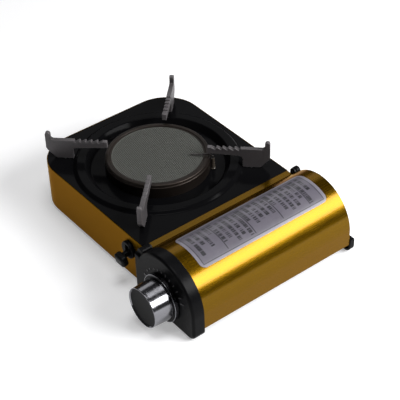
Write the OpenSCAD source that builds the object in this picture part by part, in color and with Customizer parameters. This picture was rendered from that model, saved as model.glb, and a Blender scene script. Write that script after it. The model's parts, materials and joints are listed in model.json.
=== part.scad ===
// Tabletop butane cassette stove: burner box on the left, gas canister bay under a barrel cover on the right.
// X runs from the burner to the canister, Y from the knob to the back, Z up.
// Places are written from the burner box's front left corner on the ground, and placed() centres the whole.

/* [Burner box] */
// Width of the burner box, left face to right edge
box_w = 204; // [196:1:220]
// Depth of the burner box, front face to back face
box_d = 192; // [190:1:206]
// Height of the box's side sheet
box_h = 52; // [50:1:60]
// Radius of the two left corners, seen from above
corner_r = 43; // [24:1:50]
// Thickness of the steel sheet
sheet = 0.8; // [0.6:0.1:1.2]
// Width of the inward flange that carries the top plate
flange_w = 7; // [5:0.5:9]
// Height of the rubber feet under the base
foot_h = 4; // [3.6:0.2:6]
// Radius of a rubber foot
foot_r = 7; // [5:0.5:10]

/* [Top plate] */
// Outer radius of the raised ring around the burner
ridge_outer_r = 88; // [84:0.5:90]
// Inner radius of the raised ring around the burner
ridge_inner_r = 76; // [72:0.5:80]
// Height of the raised ring above the plate
ridge_h = 2.9; // [1:0.1:4]
// Run of the ring's sloping sides
ridge_slope = 2.4; // [1.5:0.1:3]
// Depth of the dish around the burner
dish_depth = 5; // [3:0.25:7]

/* [Burner] */
// Radius of the ceramic burner plate
ceramic_r = 51; // [44:0.5:52]
// Thickness of the ceramic burner plate
ceramic_t = 13; // [10:0.5:14]
// Height of the ceramic plate's face above the top plate
ceramic_rise = 9.6; // [8:0.2:11]
// Thickness of the fibre gasket around the ceramic plate
gasket_t = 1.4; // [1:0.1:2]
// Depth of the burner cup below the ceramic plate
cup_depth = 30; // [28:1:34]
// Width of the trim ring's flat top
ring_top_w = 6; // [4:0.2:7]
// Width of the trim ring's lip over the ceramic plate
ring_lip_w = 1.6; // [1:0.1:2.5]
// Height of the trim ring's top above the ceramic plate
ring_rise = 1.2; // [0.9:0.1:2]
// Outer radius of the mixing tube
tube_r = 8; // [6:0.5:9]
// Length of the mixing tube outside the burner cup
tube_len = 44; // [36:1:46]
// Bearing of the mixing tube from the burner centre, degrees
tube_angle = -30; // [-36:1:-24]

/* [Pan supports] */
// Distance from the burner centre to a support's inner end
support_inner_r = 53.5; // [52:0.5:58]
// Distance from the burner centre to a support's outer end
support_outer_r = 121; // [119:0.5:122]
// Distance from the burner centre to a support's pivot
support_pivot_r = 101; // [100:0.5:102]
// Height of a support's top edge above the plate
support_top = 23.7; // [22:0.5:28]
// Depth of a support's arm
support_arm = 9.6; // [8:0.2:10]
// Thickness of a support
support_t = 5.2; // [4.6:0.1:6]
// Length of a support's foot on the plate
support_foot = 19; // [16:0.5:20]
// Height of the upturned finger above the top edge
finger_h = 9; // [6:0.5:11]
// Thickness of the finger along the arm
finger_t = 5.6; // [5:0.1:7]
// Number of saw notches in a support's top edge
notch_count = 5; // [3:1:6]
// Depth of a saw notch
notch_depth = 2.2; // [1.5:0.1:3]
// Pitch of the saw notches
notch_pitch = 6.4; // [6:0.1:7]
// Radius of the rivet that a support swivels on
support_rivet_r = 1.5; // [1.2:0.1:1.7]

/* [Barrel cover] */
// Radius of the barrel cover
barrel_r = 46.5; // [46:0.1:50]
// Depth of the barrel's centre below the top plate
barrel_drop = 26.5; // [25:0.5:28]
// Width of the gold strip between the plate and the barrel
strip_w = 7.5; // [6.5:0.25:9]
// Gap between the strip and the cover's edge
seam_gap = 1.8; // [1.6:0.1:2.4]
// Distance from the box's front face to the cover's front rim
cover_front = 3.8; // [3.4:0.1:5]
// Distance that the cover's back rim stands behind the box
cover_back_over = 3; // [2:0.25:5]
// Height of the cover's lower edge above the ground
cover_bottom = 12; // [11:0.5:14]
// Thickness of the cover's sheet
cover_t = 1; // [0.8:0.1:1.2]
// Length of the cover's label
label_len = 163; // [120:1:170]
// Width of the cover's label along the curve, degrees
label_arc = 60; // [40:1:64]
// Direction of the label's middle, degrees from the right
label_angle = 84; // [80:1:90]
// Thickness of the label
label_t = 0.25; // [0.15:0.05:0.4]

/* [End caps] */
// Distance from the box's front face to the front cap's face
cap_front = 10.2; // [10:0.2:13]
// Wall of the plastic caps
cap_wall = 2; // [1.6:0.1:2.4]
// Thickness of the rear cap
rear_cap_t = 6; // [5:0.5:8]
// Height of the caps' lower edge above the ground
cap_bottom = 1.2; // [1:0.1:2]
// Radius of the caps' rounded edge
cap_round = 3; // [2:0.5:4]
// Radius of the caps' lower right corner
cap_corner = 8; // [5:0.5:10]
// How far the rear cap stands out beyond the cover
rear_cap_lip = 1.2; // [0.6:0.1:1.6]
// How far the rear cap's round edge lies inside the barrel's
rear_cap_in = 5; // [4.8:0.2:6]
// Height of the rear cap's bumper
bumper_top = 18; // [16:0.5:22]
// Radius of the hinge ears
ear_r = 4.5; // [4.2:0.1:5]
// Radius of the hinge pins
hinge_pin_r = 1.5; // [1.2:0.1:1.8]

/* [Knob] */
// Radius of the knob
knob_r = 21.7; // [19:0.1:22.5]
// Length of the knob in front of the cap
knob_len = 26.3; // [22:0.5:30]
// Wall of the knob's chrome cup
knob_wall = 1.4; // [1:0.1:2]
// Depth of the knob's face below its rim
knob_recess = 1.2; // [0.6:0.1:3]
// Radius of the ring at the knob's foot
knob_ring_r = 26; // [24.4:0.1:26.5]
// Radius of the valve spindle
spindle_r = 3; // [2.4:0.1:3.4]

/* [Lock lever] */
// Distance from the box's right edge to the lever
lever_inset = 22; // [20:0.5:26]
// Depth of the lever's bezel below the top plate
lever_drop = 17; // [15:0.5:18]
// Radius of the lever's round bezel
bezel_r = 10; // [9.5:0.25:11]
// Thickness of the bezel in front of the box
bezel_t = 4; // [2:0.25:5]
// Distance from the box's front face back to the lever's pivot
lever_pivot_in = 14; // [13:0.5:16]
// Width of the lever's grip
grip_w = 15; // [10:0.5:18]
// Height of the lever's grip
grip_h = 12.5; // [10:0.5:15]
// Depth of the lever's grip, front to back
grip_d = 8.5; // [6:0.5:10]
// Distance from the box's front face to the grip's back
grip_out = 8; // [7.4:0.2:10]
// Droop of the locked lever, degrees
lever_droop = 11; // [9:1:12]
// Distance from the lever's pivot to its drive pin
crank_r = 11; // [10.4:0.1:11.4]

/* [Canister bay] */
// Radius of the gas canister that the bay takes
canister_r = 34; // [33:0.5:34]
// Height of the canister's underside above the bay's floor
canister_rise = 0.8; // [0.4:0.1:1]
// Radius of the canister nozzle's socket
socket_r = 4.5; // [4:0.1:5]
// Thickness of the regulator, front to back
regulator_t = 19.5; // [18:0.5:21]

/* [Hidden] */

$fn = 96;
// Cutting overrun, clearance between moving pieces, and running clearance of pins in their bores
over = 1;
gap = 0.3;
run_fit = 0.05;

// Heights and main places
base_z = foot_h;
floor_z = base_z + sheet;
plate_z = base_z + box_h;
plate_under = plate_z - sheet;
burner_x = box_w / 2;
burner_y = box_d / 2;
strip_right = box_w + strip_w;
barrel_z = plate_z - barrel_drop;
half_chord = sqrt(barrel_r * barrel_r - barrel_drop * barrel_drop);
cover_left = strip_right + seam_gap;
barrel_x = cover_left + half_chord;
barrel_right = barrel_x + barrel_r;
cover_back = box_d + cover_back_over;
cover_len = cover_back - cover_front;
cap_back = cover_front - cap_wall / 4;
rear_cap_front = cover_back + cap_wall / 4;
rear_cap_back = rear_cap_front + rear_cap_t;
cap_left = box_w - gap;
hinge_x = strip_right - seam_gap / 2;
hinge_z = plate_z + 1.5 * sheet;
knob_front = -cap_front - knob_len;
bracket_t = 2 * sheet;
pusher_t = 3 * sheet;
pusher_travel = 2 * crank_r * sin(lever_droop);
arm_y = box_d - 5 * pusher_t;
pusher_y = rear_cap_front - pusher_travel - 2 * gap;
notch_r = ear_r + 2.6 * cover_t;

// The frame's origin is the middle of the whole object's footprint
centre_x = (barrel_right + rear_cap_lip) / 2;
centre_y = (knob_front + rear_cap_back) / 2;

module placed() {
    translate([-centre_x, -centre_y, 0]) children();
}

// A solid drawn in the X-Z plane and extruded backwards from y0 to y1
module along_y(y0, y1) {
    translate([0, y1, 0]) rotate([90, 0, 0]) linear_extrude(y1 - y0) children();
}

// A rod along Y
module rod_y(x, z, r, y0, y1) {
    translate([x, y1, z]) rotate([90, 0, 0]) cylinder(r = r, h = y1 - y0);
}

// A rod along X
module rod_x(y, z, r, x0, x1) {
    translate([x0, y, z]) rotate([0, 90, 0]) cylinder(r = r, h = x1 - x0);
}

module block(low, high) {
    translate(low) cube(high - low);
}

// Footprint of the burner box with two round left corners
module box_outline(inset, right) {
    r = corner_r - inset;
    translate([corner_r, inset]) square([right - corner_r, box_d - 2 * inset]);
    translate([inset, corner_r]) square([corner_r, box_d - 2 * corner_r]);
    translate([corner_r, corner_r]) circle(r = r);
    translate([corner_r, box_d - corner_r]) circle(r = r);
}

// Base pan
pan_right = barrel_right - cover_bottom + sheet;
pan_rim = 8 * sheet;
bay_rim = 18 * sheet;
bay_front = -cap_front + cap_wall + gap;
bay_back = rear_cap_back - cap_wall - gap;
foot_places = [[corner_r * 0.7, corner_r * 0.7], [corner_r * 0.7, box_d - corner_r * 0.7],
    [pan_right - 2 * foot_r, 2 * foot_r], [pan_right - 2 * foot_r, box_d - 2 * foot_r]];
foot_plug_r = foot_r * 0.35;
vent_len = box_w * 0.2;
vent_w = 5 * sheet;
vent_pitch = 4 * vent_w;

module base_pan() {
    placed() color("dimgray") difference() {
        union() {
            translate([0, 0, base_z]) linear_extrude(sheet) box_outline(sheet, cap_left);
            translate([0, 0, base_z]) linear_extrude(pan_rim) difference() {
                box_outline(sheet, cap_left);
                box_outline(2 * sheet, cap_left + over);
            }
            block([cap_left - over, sheet, base_z], [pan_right, box_d - sheet, floor_z]);
            block([box_w + cap_wall + gap, bay_front, base_z], [pan_right, bay_back, floor_z]);
            block([pan_right - sheet, cover_front + gap, base_z], [pan_right, cover_back - gap, base_z + bay_rim]);
        }
        for (p = foot_places) translate([p[0], p[1], base_z - over])
            cylinder(r = foot_plug_r, h = sheet + 2 * over);
        for (i = [-1 : 1], side = [-1, 1])
            translate([burner_x + (side - 0.5) * vent_len, burner_y + i * vent_pitch - vent_w / 2, base_z - over])
                cube([vent_len, vent_w, sheet + 2 * over]);
        for (p = screw_places) translate([p[0], p[1], base_z - over]) cylinder(r = screw_r, h = sheet + 2 * over);
    }
}

module rubber_feet() {
    placed() color("black") for (p = foot_places) translate([p[0], p[1], 0]) {
        cylinder(r1 = foot_r * 0.86, r2 = foot_r, h = foot_h);
        cylinder(r = foot_plug_r, h = floor_z);
        translate([0, 0, floor_z]) cylinder(r = foot_plug_r * 1.3, h = sheet);
    }
}

// Side shell
module side_shell() {
    placed() color("goldenrod") difference() {
        union() {
            translate([0, 0, base_z]) linear_extrude(box_h) difference() {
                box_outline(0, cap_left);
                box_outline(sheet, cap_left + over);
            }
            translate([0, 0, plate_under - sheet]) linear_extrude(sheet) difference() {
                box_outline(0, cap_left);
                box_outline(flange_w, cap_left + over);
            }
        }
        rod_y(lever_x, lever_z, bezel_spigot_r, -over, sheet + over);
    }
}

// Partition between burner and canister, with the bright strip on top
partition_x = box_w + sheet;
strip_front = cover_front + 2 * bracket_t + 2 * gap;
strip_back = cover_back - 2 * bracket_t - 2 * gap;
rod_slot_front = arm_y - 2 * gap;
rod_slot_back = arm_y + pusher_t + pusher_travel + 2 * gap;

module partition_wall() {
    placed() color("goldenrod") difference() {
        union() {
            block([box_w, sheet, floor_z], [partition_x, box_d - sheet, plate_under]);
            block([box_w, strip_front, plate_under], [strip_right, strip_back, plate_z]);
            block([strip_right - sheet, strip_front, plate_under - 3 * sheet], [strip_right, strip_back, plate_z]);
            block([box_w, sheet, floor_z], [box_w + flange_w, box_d - sheet, floor_z + sheet]);
        }
        for (p = screw_places) translate([p[0], p[1], floor_z - over]) cylinder(r = screw_r, h = sheet + 2 * over);
        rod_x(pipe_y, pipe_z, pipe_r + gap, box_w - over, partition_x + over);
        rod_x(lead_wall_y, lead_wall_z, lead_r + gap, box_w - over, partition_x + over);
        block([box_w - over, rod_slot_front, rod_z - rod_h / 2 - gap],
            [partition_x + over, rod_slot_back, rod_z + rod_h / 2 + gap]);
    }
}

screw_r = 1.5;
screw_head_r = 2 * screw_r;
screw_head_h = screw_r;
screw_places = [for (share = [0.12, 0.5, 0.82]) [box_w + flange_w * 0.6, box_d * share]];

module case_screws() {
    placed() color("silver") for (p = screw_places) translate([p[0], p[1], 0]) {
        translate([0, 0, base_z - screw_head_h]) cylinder(r = screw_head_r, h = screw_head_h);
        translate([0, 0, base_z - over / 2]) cylinder(r = screw_r, h = 3 * sheet + over / 2 + screw_head_h);
    }
}

// Top plate: flat rim, raised ring, and a dish that the trim ring stands in
dish_z = plate_z - dish_depth;
cup_outer_r = ceramic_r + gasket_t + sheet;
plate_hole_r = cup_outer_r + gap;
plate_inset = sheet + gap / 2;

module plate_profile() {
    polygon([
        [ridge_outer_r + 2 * ridge_slope, plate_z],
        [ridge_outer_r + ridge_slope, plate_z],
        [ridge_outer_r, plate_z + ridge_h],
        [ridge_inner_r + ridge_slope, plate_z + ridge_h],
        [ridge_inner_r - ridge_slope, dish_z],
        [plate_hole_r, dish_z],
        [plate_hole_r, dish_z - sheet],
        [ridge_inner_r - 0.7 * ridge_slope, dish_z - sheet],
        [ridge_inner_r + 1.3 * ridge_slope, plate_z + ridge_h - sheet],
        [ridge_outer_r - 0.3 * ridge_slope, plate_z + ridge_h - sheet],
        [ridge_outer_r + 0.7 * ridge_slope, plate_under],
        [ridge_outer_r + 2 * ridge_slope, plate_under]
    ]);
}

module top_plate() {
    placed() color([0.08, 0.08, 0.09]) difference() {
        union() {
            translate([0, 0, plate_under]) linear_extrude(sheet) difference() {
                box_outline(plate_inset, cap_left);
                translate([burner_x, burner_y]) circle(r = ridge_outer_r + 1.9 * ridge_slope);
            }
            translate([burner_x, burner_y, 0]) rotate_extrude() plate_profile();
        }
        for (i = [0 : 3]) at_pivot(i) translate([0, 0, plate_under - over])
            cylinder(r = support_rivet_r, h = sheet + 2 * over);
        at_electrode() translate([0, 0, dish_z - sheet - over]) cylinder(r = insulator_r, h = sheet + 2 * over);
    }
}

// Burner
ceramic_top = plate_z + ceramic_rise;
ceramic_bottom = ceramic_top - ceramic_t;
cup_top = ceramic_top - sheet;
cup_floor = ceramic_bottom - cup_depth;
cup_round = 4 * sheet;
ledge_w = 4 * sheet;
ring_outer_r = ceramic_r - ring_lip_w + 2 * sheet + ring_top_w;
tube_z = cup_floor + tube_r + cup_round;

module at_burner() {
    translate([burner_x, burner_y, 0]) children();
}

// The mixing tube's own line: X runs outwards from the burner's centre
module at_tube() {
    at_burner() translate([0, 0, tube_z]) rotate([0, 0, tube_angle]) children();
}

module burner_cup() {
    placed() color("gainsboro") difference() {
        at_burner() rotate_extrude() {
            polygon([
                [0, cup_floor], [cup_outer_r - cup_round, cup_floor], [cup_outer_r, cup_floor + cup_round],
                [cup_outer_r, dish_z - 2 * sheet], [cup_outer_r + ledge_w, dish_z - 2 * sheet],
                [cup_outer_r + ledge_w, dish_z - sheet], [cup_outer_r, dish_z - sheet],
                [cup_outer_r, cup_top], [cup_outer_r - sheet, cup_top],
                [cup_outer_r - sheet, ceramic_bottom], [cup_outer_r - sheet - ledge_w, ceramic_bottom],
                [cup_outer_r - sheet - ledge_w, ceramic_bottom - sheet],
                [cup_outer_r - sheet, ceramic_bottom - 2 * sheet],
                [cup_outer_r - sheet, cup_floor + cup_round],
                [cup_outer_r - cup_round - sheet / 2, cup_floor + sheet],
                [0, cup_floor + sheet]
            ]);
        }
        at_tube() rotate([0, 90, 0]) cylinder(r = tube_r, h = cup_outer_r + over);
    }
}

module mixing_tube() {
    placed() color("silver") at_tube() rotate([0, 90, 0]) difference() {
        union() {
            translate([0, 0, cup_outer_r - tube_r]) cylinder(r = tube_r, h = tube_len + tube_r);
            translate([0, 0, cup_outer_r + tube_len - tube_r]) cylinder(r1 = tube_r, r2 = tube_r * 1.25, h = tube_r);
        }
        translate([0, 0, cup_outer_r - tube_r - over]) cylinder(r = tube_r - sheet, h = tube_len + 2 * tube_r);
        translate([0, 0, cup_outer_r + tube_len - tube_r])
            cylinder(r1 = tube_r - sheet, r2 = tube_r * 1.25 - sheet, h = tube_r + sheet / 8);
        for (turn = [0, 180]) translate([0, 0, cup_outer_r + tube_len - 2 * tube_r]) rotate([turn + 90, 0, 0])
            cylinder(r = tube_r * 0.4, h = 2 * tube_r);
    }
}

module burner_gasket() {
    placed() color("white") at_burner() translate([0, 0, ceramic_bottom]) difference() {
        cylinder(r = ceramic_r + gasket_t, h = cup_top - ceramic_bottom);
        translate([0, 0, -over]) cylinder(r = ceramic_r, h = ceramic_t + 2 * over);
    }
}

module ceramic_plate() {
    placed() color("gray") at_burner() translate([0, 0, ceramic_bottom]) cylinder(r = ceramic_r, h = ceramic_t);
}

module burner_ring() {
    lip_r = ceramic_r - ring_lip_w;
    step_r = lip_r + 2 * sheet;
    top_z = ceramic_top + ring_rise;
    lip_z = ceramic_top + gap;
    inner_r = ring_outer_r - sheet;
    placed() color([0.32, 0.26, 0.22]) at_burner() rotate_extrude() polygon([
        [lip_r, lip_z], [step_r, lip_z], [step_r + sheet, top_z - sheet],
        [inner_r - sheet, top_z - sheet], [inner_r, top_z - 2 * sheet],
        [inner_r, dish_z], [ring_outer_r, dish_z],
        [ring_outer_r, top_z - sheet], [ring_outer_r - sheet, top_z],
        [step_r, top_z], [step_r - sheet, lip_z + sheet / 2], [lip_r, lip_z + sheet / 2]
    ]);
}

module heat_shield() {
    r = cup_outer_r * 0.8;
    z = (floor_z + cup_floor) / 2;
    placed() color("lightgray") at_burner() difference() {
        union() {
            translate([0, 0, z]) cylinder(r = r, h = sheet);
            for (turn = [45 : 90 : 315]) rotate([0, 0, turn]) translate([r * 0.8, 0, floor_z])
                cylinder(r = 3 * sheet, h = z - floor_z + sheet / 2);
        }
        translate([0, 0, z - over]) cylinder(r = r * 0.2, h = sheet + 2 * over);
    }
}

// Gas jet and pipe
jet_gap = 2 * sheet;
jet_len = 1.25 * tube_r;
jet_r = tube_r * 0.62;
jet_start = cup_outer_r + tube_len + jet_gap;
pipe_r = 2;
pipe_bend = 3 * pipe_r;
pipe_z = tube_z;
jet_back_x = burner_x + (jet_start + jet_len) * cos(tube_angle);
jet_back_y = burner_y + (jet_start + jet_len) * sin(tube_angle);
regulator_front = -cap_front + cap_wall + 2 * gap;
regulator_back = regulator_front + regulator_t;
pipe_y = regulator_front + regulator_t * 0.62;

module gas_jet() {
    placed() color("goldenrod") at_tube() rotate([0, 90, 0]) difference() {
        union() {
            translate([0, 0, jet_start]) cylinder(r = jet_r, h = jet_len);
            translate([0, 0, jet_start - jet_gap - tube_r / 4]) cylinder(r = jet_r / 2, h = tube_r / 2);
            translate([0, -jet_r / 2, jet_start + sheet]) cube([tube_z - floor_z, jet_r, 2 * sheet]);
        }
        translate([0, 0, jet_start + sheet]) cylinder(r = pipe_r, h = jet_len);
        translate([0, 0, jet_start + jet_len / 2]) cylinder(r = pipe_r + 3 * gap, h = jet_len);
    }
}

// A round tube along a route whose corners are rounded, swept ring by ring
function unit(v) = v / norm(v);
function bend(a, b, c, r) = [for (t = [0 : 1 / 4 : 1])
    (1 - t) * (1 - t) * (b + r * unit(a - b)) + 2 * t * (1 - t) * b + t * t * (b + r * unit(c - b))];
function route(p, r) = concat([p[0]],
    [for (i = [1 : len(p) - 2]) each bend(p[i - 1], p[i], p[i + 1], r)], [p[len(p) - 1]]);
function heading(p, i) = unit(p[min(i + 1, len(p) - 1)] - p[max(i - 1, 0)]);
function side_of(p, i) = i == 0 ? unit(cross(heading(p, 0), [0.3, 0.2, 0.93]))
    : let (s = side_of(p, i - 1), h = heading(p, i)) unit(s - (s * h) * h);

module tube_along(points, r, bend_r, sides) {
    p = route(points, bend_r);
    n = len(p);
    rings = [for (i = [0 : n - 1]) let (h = heading(p, i), u = side_of(p, i), v = cross(h, u))
        for (k = [0 : sides - 1]) p[i] + r * (cos(360 * k / sides) * u + sin(360 * k / sides) * v)];
    walls = [for (i = [0 : n - 2], k = [0 : sides - 1])
        let (a = i * sides + k, b = i * sides + (k + 1) % sides)
        each [[a, a + sides, b], [b, a + sides, b + sides]]];
    last = (n - 1) * sides;
    caps = [for (k = [1 : sides - 2]) each [[0, k, k + 1], [last, last + k + 1, last + k]]];
    polyhedron(points = rings, faces = concat(walls, caps));
}

// The pipe leaves the jet, bends to run straight to the front, and bends again into the regulator's side
module gas_pipe() {
    start = [burner_x + (jet_start + sheet) * cos(tube_angle),
        burner_y + (jet_start + sheet) * sin(tube_angle), tube_z];
    knee = [burner_x + (jet_start + jet_len + pipe_r) * cos(tube_angle),
        burner_y + (jet_start + jet_len + pipe_r) * sin(tube_angle), tube_z];
    elbow = [knee[0], pipe_y, pipe_z];
    finish = [regulator_left + pipe_r, pipe_y, pipe_z];
    placed() color("darkkhaki") tube_along([start, knee, elbow, finish], pipe_r - run_fit, pipe_bend, 16);
}

// Regulator: valve on the knob's axis, nozzle socket on the canister's axis
canister_z = floor_z + canister_rise + canister_r;
canister_x = barrel_x - 2 * cover_t;
regulator_w = 1.1 * canister_r;
regulator_left = barrel_x - regulator_w / 2;
regulator_low = barrel_z - 3.4 * spindle_r;
regulator_high = canister_z + 2.6 * socket_r;
socket_depth = 2.4 * socket_r;
spindle_end = regulator_front + regulator_t * 0.36;
flange_t = cap_wall;

module regulator_body() {
    placed() color("darkgray") difference() {
        union() {
            along_y(regulator_front, regulator_back) difference() {
                translate([regulator_left, regulator_low]) square([regulator_w, regulator_high - regulator_low]);
                for (side = [0, 1]) translate([regulator_left + side * regulator_w, regulator_high])
                    rotate(45) square(socket_r * 1.6, center = true);
            }
            rod_y(barrel_x, barrel_z, 2 * spindle_r, regulator_front - gap, regulator_front + over);
        }
        rod_y(barrel_x, barrel_z, spindle_r + run_fit, regulator_front - over, spindle_end);
        rod_y(canister_x, canister_z, socket_r, regulator_back - socket_depth, regulator_back + over);
        rod_x(pipe_y, pipe_z, pipe_r, regulator_left - over, regulator_left + pipe_r);
    }
}

module diaphragm_cap() {
    r = regulator_t * 0.4;
    placed() color("silver") {
        rod_x(regulator_front + regulator_t / 2, barrel_z + r, r, regulator_left + regulator_w,
            regulator_left + regulator_w + 3 * sheet);
        rod_x(regulator_front + regulator_t / 2, barrel_z + r, r * 0.6, regulator_left + regulator_w,
            regulator_left + regulator_w + 7 * sheet);
    }
}

module inlet_flange() {
    placed() color("silver") difference() {
        union() {
            rod_y(canister_x, canister_z, 4.2 * socket_r, regulator_back, regulator_back + flange_t / 2);
            along_y(regulator_back, regulator_back + 3 * flange_t)
                translate([canister_x - flange_t, canister_z + 4 * socket_r]) square([2 * flange_t, 3 * sheet]);
        }
        rod_y(canister_x, canister_z, socket_r, regulator_back - over, regulator_back + over + flange_t);
    }
}

module inlet_seal() {
    seal_y = regulator_back - socket_depth;
    placed() color("black") difference() {
        rod_y(canister_x, canister_z, socket_r, seal_y, seal_y + 3 * sheet);
        rod_y(canister_x, canister_z, socket_r / 2, seal_y - over, seal_y + 3 * sheet + over);
    }
}

// Igniter: box behind the panel, lead to the electrode beside the trim ring
piezo_w = 4 * spindle_r;
piezo_right = regulator_left - gap;
piezo_left = piezo_right - piezo_w;
piezo_low = barrel_z - 5 * spindle_r;
piezo_high = pipe_z - pipe_r - 2 * gap;
lead_r = 1.1;
lead_wall_y = pipe_y;
lead_wall_z = piezo_low + piezo_w / 2;
electrode_angle = 45;
insulator_r = 2.2;
electrode_r = ring_outer_r + insulator_r + 2 * gap;
insulator_top = dish_z + 6 * insulator_r;
insulator_bottom = dish_z - 5 * insulator_r;

module at_electrode() {
    at_burner() rotate([0, 0, electrode_angle]) translate([electrode_r, 0, 0]) children();
}

module piezo_igniter() {
    placed() color("ivory") {
        block([piezo_left, regulator_front, piezo_low], [piezo_right, regulator_back - 2 * spindle_r, piezo_high]);
        rod_x(lead_wall_y, lead_wall_z, 2 * lead_r, piezo_left - 2 * lead_r, piezo_left);
    }
}

// The lead's route: through the partition, back along it, across to the electrode's foot
lead_run_x = box_w - 6 * lead_r;
electrode_x = burner_x + electrode_r * cos(electrode_angle);
electrode_y = burner_y + electrode_r * sin(electrode_angle);
lead_points = [
    [piezo_left - 2 * lead_r, lead_wall_y, lead_wall_z],
    [box_w - 2 * lead_r, lead_wall_y, lead_wall_z],
    [lead_run_x, lead_wall_y + 4 * lead_r, lead_wall_z],
    [lead_run_x, electrode_y - 6 * lead_r, lead_wall_z],
    [lead_run_x - 4 * lead_r, electrode_y, lead_wall_z],
    [electrode_x + 4 * lead_r, electrode_y, lead_wall_z],
    [electrode_x, electrode_y, lead_wall_z + 4 * lead_r],
    [electrode_x, electrode_y, insulator_bottom]
];

module igniter_lead() {
    placed() color("whitesmoke") tube_along(lead_points, lead_r, 1.8 * lead_r, 8);
}

module spark_electrode() {
    placed() color("white") at_electrode() {
        translate([0, 0, insulator_bottom]) cylinder(r = insulator_r, h = insulator_top - insulator_bottom);
        translate([0, 0, dish_z]) cylinder(r = insulator_r * 1.3, h = sheet);
    }
}

wire_r = 0.7;
wire_z = ceramic_top + ring_rise + 2 * wire_r;
wire_reach = 4 * ring_top_w;

module electrode_wire() {
    placed() color("dimgray") at_electrode() {
        translate([0, 0, insulator_top]) cylinder(r = wire_r, h = wire_z - insulator_top);
        translate([0, 0, wire_z]) sphere(r = wire_r);
        translate([-wire_reach, 0, wire_z]) rotate([0, 90, 0]) cylinder(r = wire_r, h = wire_reach);
    }
}

// Caps: outline of barrel, left side and hinge ear
module cap_outline(inset, grow) {
    left = cap_left + inset;
    right = barrel_right + grow - inset;
    low = cap_bottom + inset;
    corner = cap_corner - inset;
    intersection() {
        translate([barrel_x, barrel_z]) circle(r = barrel_r + grow - inset);
        translate([left - barrel_r, barrel_z - over]) square([4 * barrel_r, 2 * barrel_r]);
    }
    translate([left, low]) square([right - left - corner, barrel_z - low]);
    translate([left, low + corner]) square([right - left, barrel_z - low - corner]);
    translate([right - corner, low + corner]) circle(r = corner);
    translate([left, barrel_z - over]) square([half_chord, plate_z - 2 * sheet - inset - barrel_z + over]);
}

// Quarter-round edge in a few steps from the face inwards
round_shares = [0, 0.13, 0.35, 0.65, 1];

// The front cap's outline as points, which its rounded edge is hulled from
module cap_profile(inset) {
    left = cap_left + inset;
    corner = cap_corner - inset;
    radius = barrel_r - inset;
    polygon(concat([[left, cap_bottom + inset]],
        [for (turn = [-90 : 10 : 0])
            [barrel_right - cap_corner + corner * cos(turn), cap_bottom + cap_corner + corner * sin(turn)]],
        [for (turn = [0 : 6 : 144]) [barrel_x + radius * cos(turn), barrel_z + radius * sin(turn)]],
        [[left, plate_z - 2 * sheet - inset]]));
}

module cap_block(y_face, y_rim, round) {
    hull() {
        for (share = round_shares) {
            depth = round * share;
            inset = round - sqrt(round * round - (round - depth) * (round - depth));
            y = y_face + depth;
            along_y(y, y + sheet / 8) cap_profile(inset);
        }
        along_y(y_rim - sheet / 8, y_rim) cap_profile(0);
    }
}

module front_cap() {
    placed() color([0.1, 0.1, 0.1]) difference() {
        union() {
            difference() {
                cap_block(-cap_front, cap_back, cap_round);
                along_y(-cap_front + cap_wall, cap_back + over) cap_profile(cap_wall);
                block([cap_left - over, -gap, cap_bottom - over],
                    [box_w + cap_wall, cap_back + over, plate_z + ear_r]);
                block([cap_left - over, -cap_front - over, plate_z - sheet],
                    [hinge_x - ear_r, cap_back + over, plate_z + barrel_r]);
            }
            rod_y(hinge_x, hinge_z, ear_r, -cap_front + cap_round, cap_back);
            block([barrel_x - canister_r, -cap_front + cap_wall / 2, cap_bottom + cap_wall / 2],
                [barrel_x + canister_r / 2, cover_front, base_z]);
            along_y(-cap_front + cap_round, cap_back) translate([hinge_x - ear_r, plate_z - 3 * ear_r])
                square([2 * ear_r, 3 * ear_r]);
        }
        rod_y(barrel_x, barrel_z, 2 * spindle_r + gap, -cap_front - over, -cap_front + cap_wall + over);
        rod_y(hinge_x, hinge_z, hinge_pin_r, cap_back - ear_r, cap_back + over);
    }
}

// The rear cap's bumper, from the back
module bumper_outline(inset) {
    left = cap_left + inset;
    right = barrel_right + rear_cap_lip - inset;
    low = cap_bottom + inset;
    high = bumper_top - inset;
    corner = cap_corner - inset;
    translate([left, low]) square([right - left - corner, high - low]);
    translate([left, low + corner]) square([right - left, high - low - corner]);
    translate([right - corner, low + corner]) circle(r = corner);
}

module rear_cap() {
    edge = cap_round / 4;
    ear_back = rear_cap_back - cap_wall / 2;
    placed() color([0.1, 0.1, 0.1]) difference() {
        union() {
            along_y(rear_cap_front, rear_cap_front + cap_wall) difference() {
                cap_outline(0, -rear_cap_in);
                translate([cap_left - over, -over]) square([3 * barrel_r, bumper_top - cap_wall + over]);
            }
            difference() {
                union() {
                    along_y(rear_cap_front, rear_cap_back - edge) bumper_outline(0);
                    along_y(rear_cap_front + edge, rear_cap_back) bumper_outline(edge);
                }
                along_y(rear_cap_front - over, rear_cap_back - cap_wall) bumper_outline(cap_wall);
            }
            rod_y(hinge_x, hinge_z, ear_r, rear_cap_front, ear_back);
            block([barrel_x - canister_r, rear_cap_front, cap_bottom + cap_wall / 2],
                [barrel_x + canister_r / 2, ear_back, base_z]);
            along_y(rear_cap_front, ear_back) translate([hinge_x - ear_r, plate_z - 0.6 * ear_r])
                square([2 * ear_r, 0.6 * ear_r]);
        }
        rod_y(hinge_x, hinge_z, hinge_pin_r, rear_cap_front - over, rear_cap_back - cap_wall - gap);
    }
}

// Plain raised marks around the knob: a widening flame scale and two dots
mark_h = 0.4;
mark_r = knob_ring_r + 3;
mark_w = 1.2;
first_mark = 20;
last_mark = 116;

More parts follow.
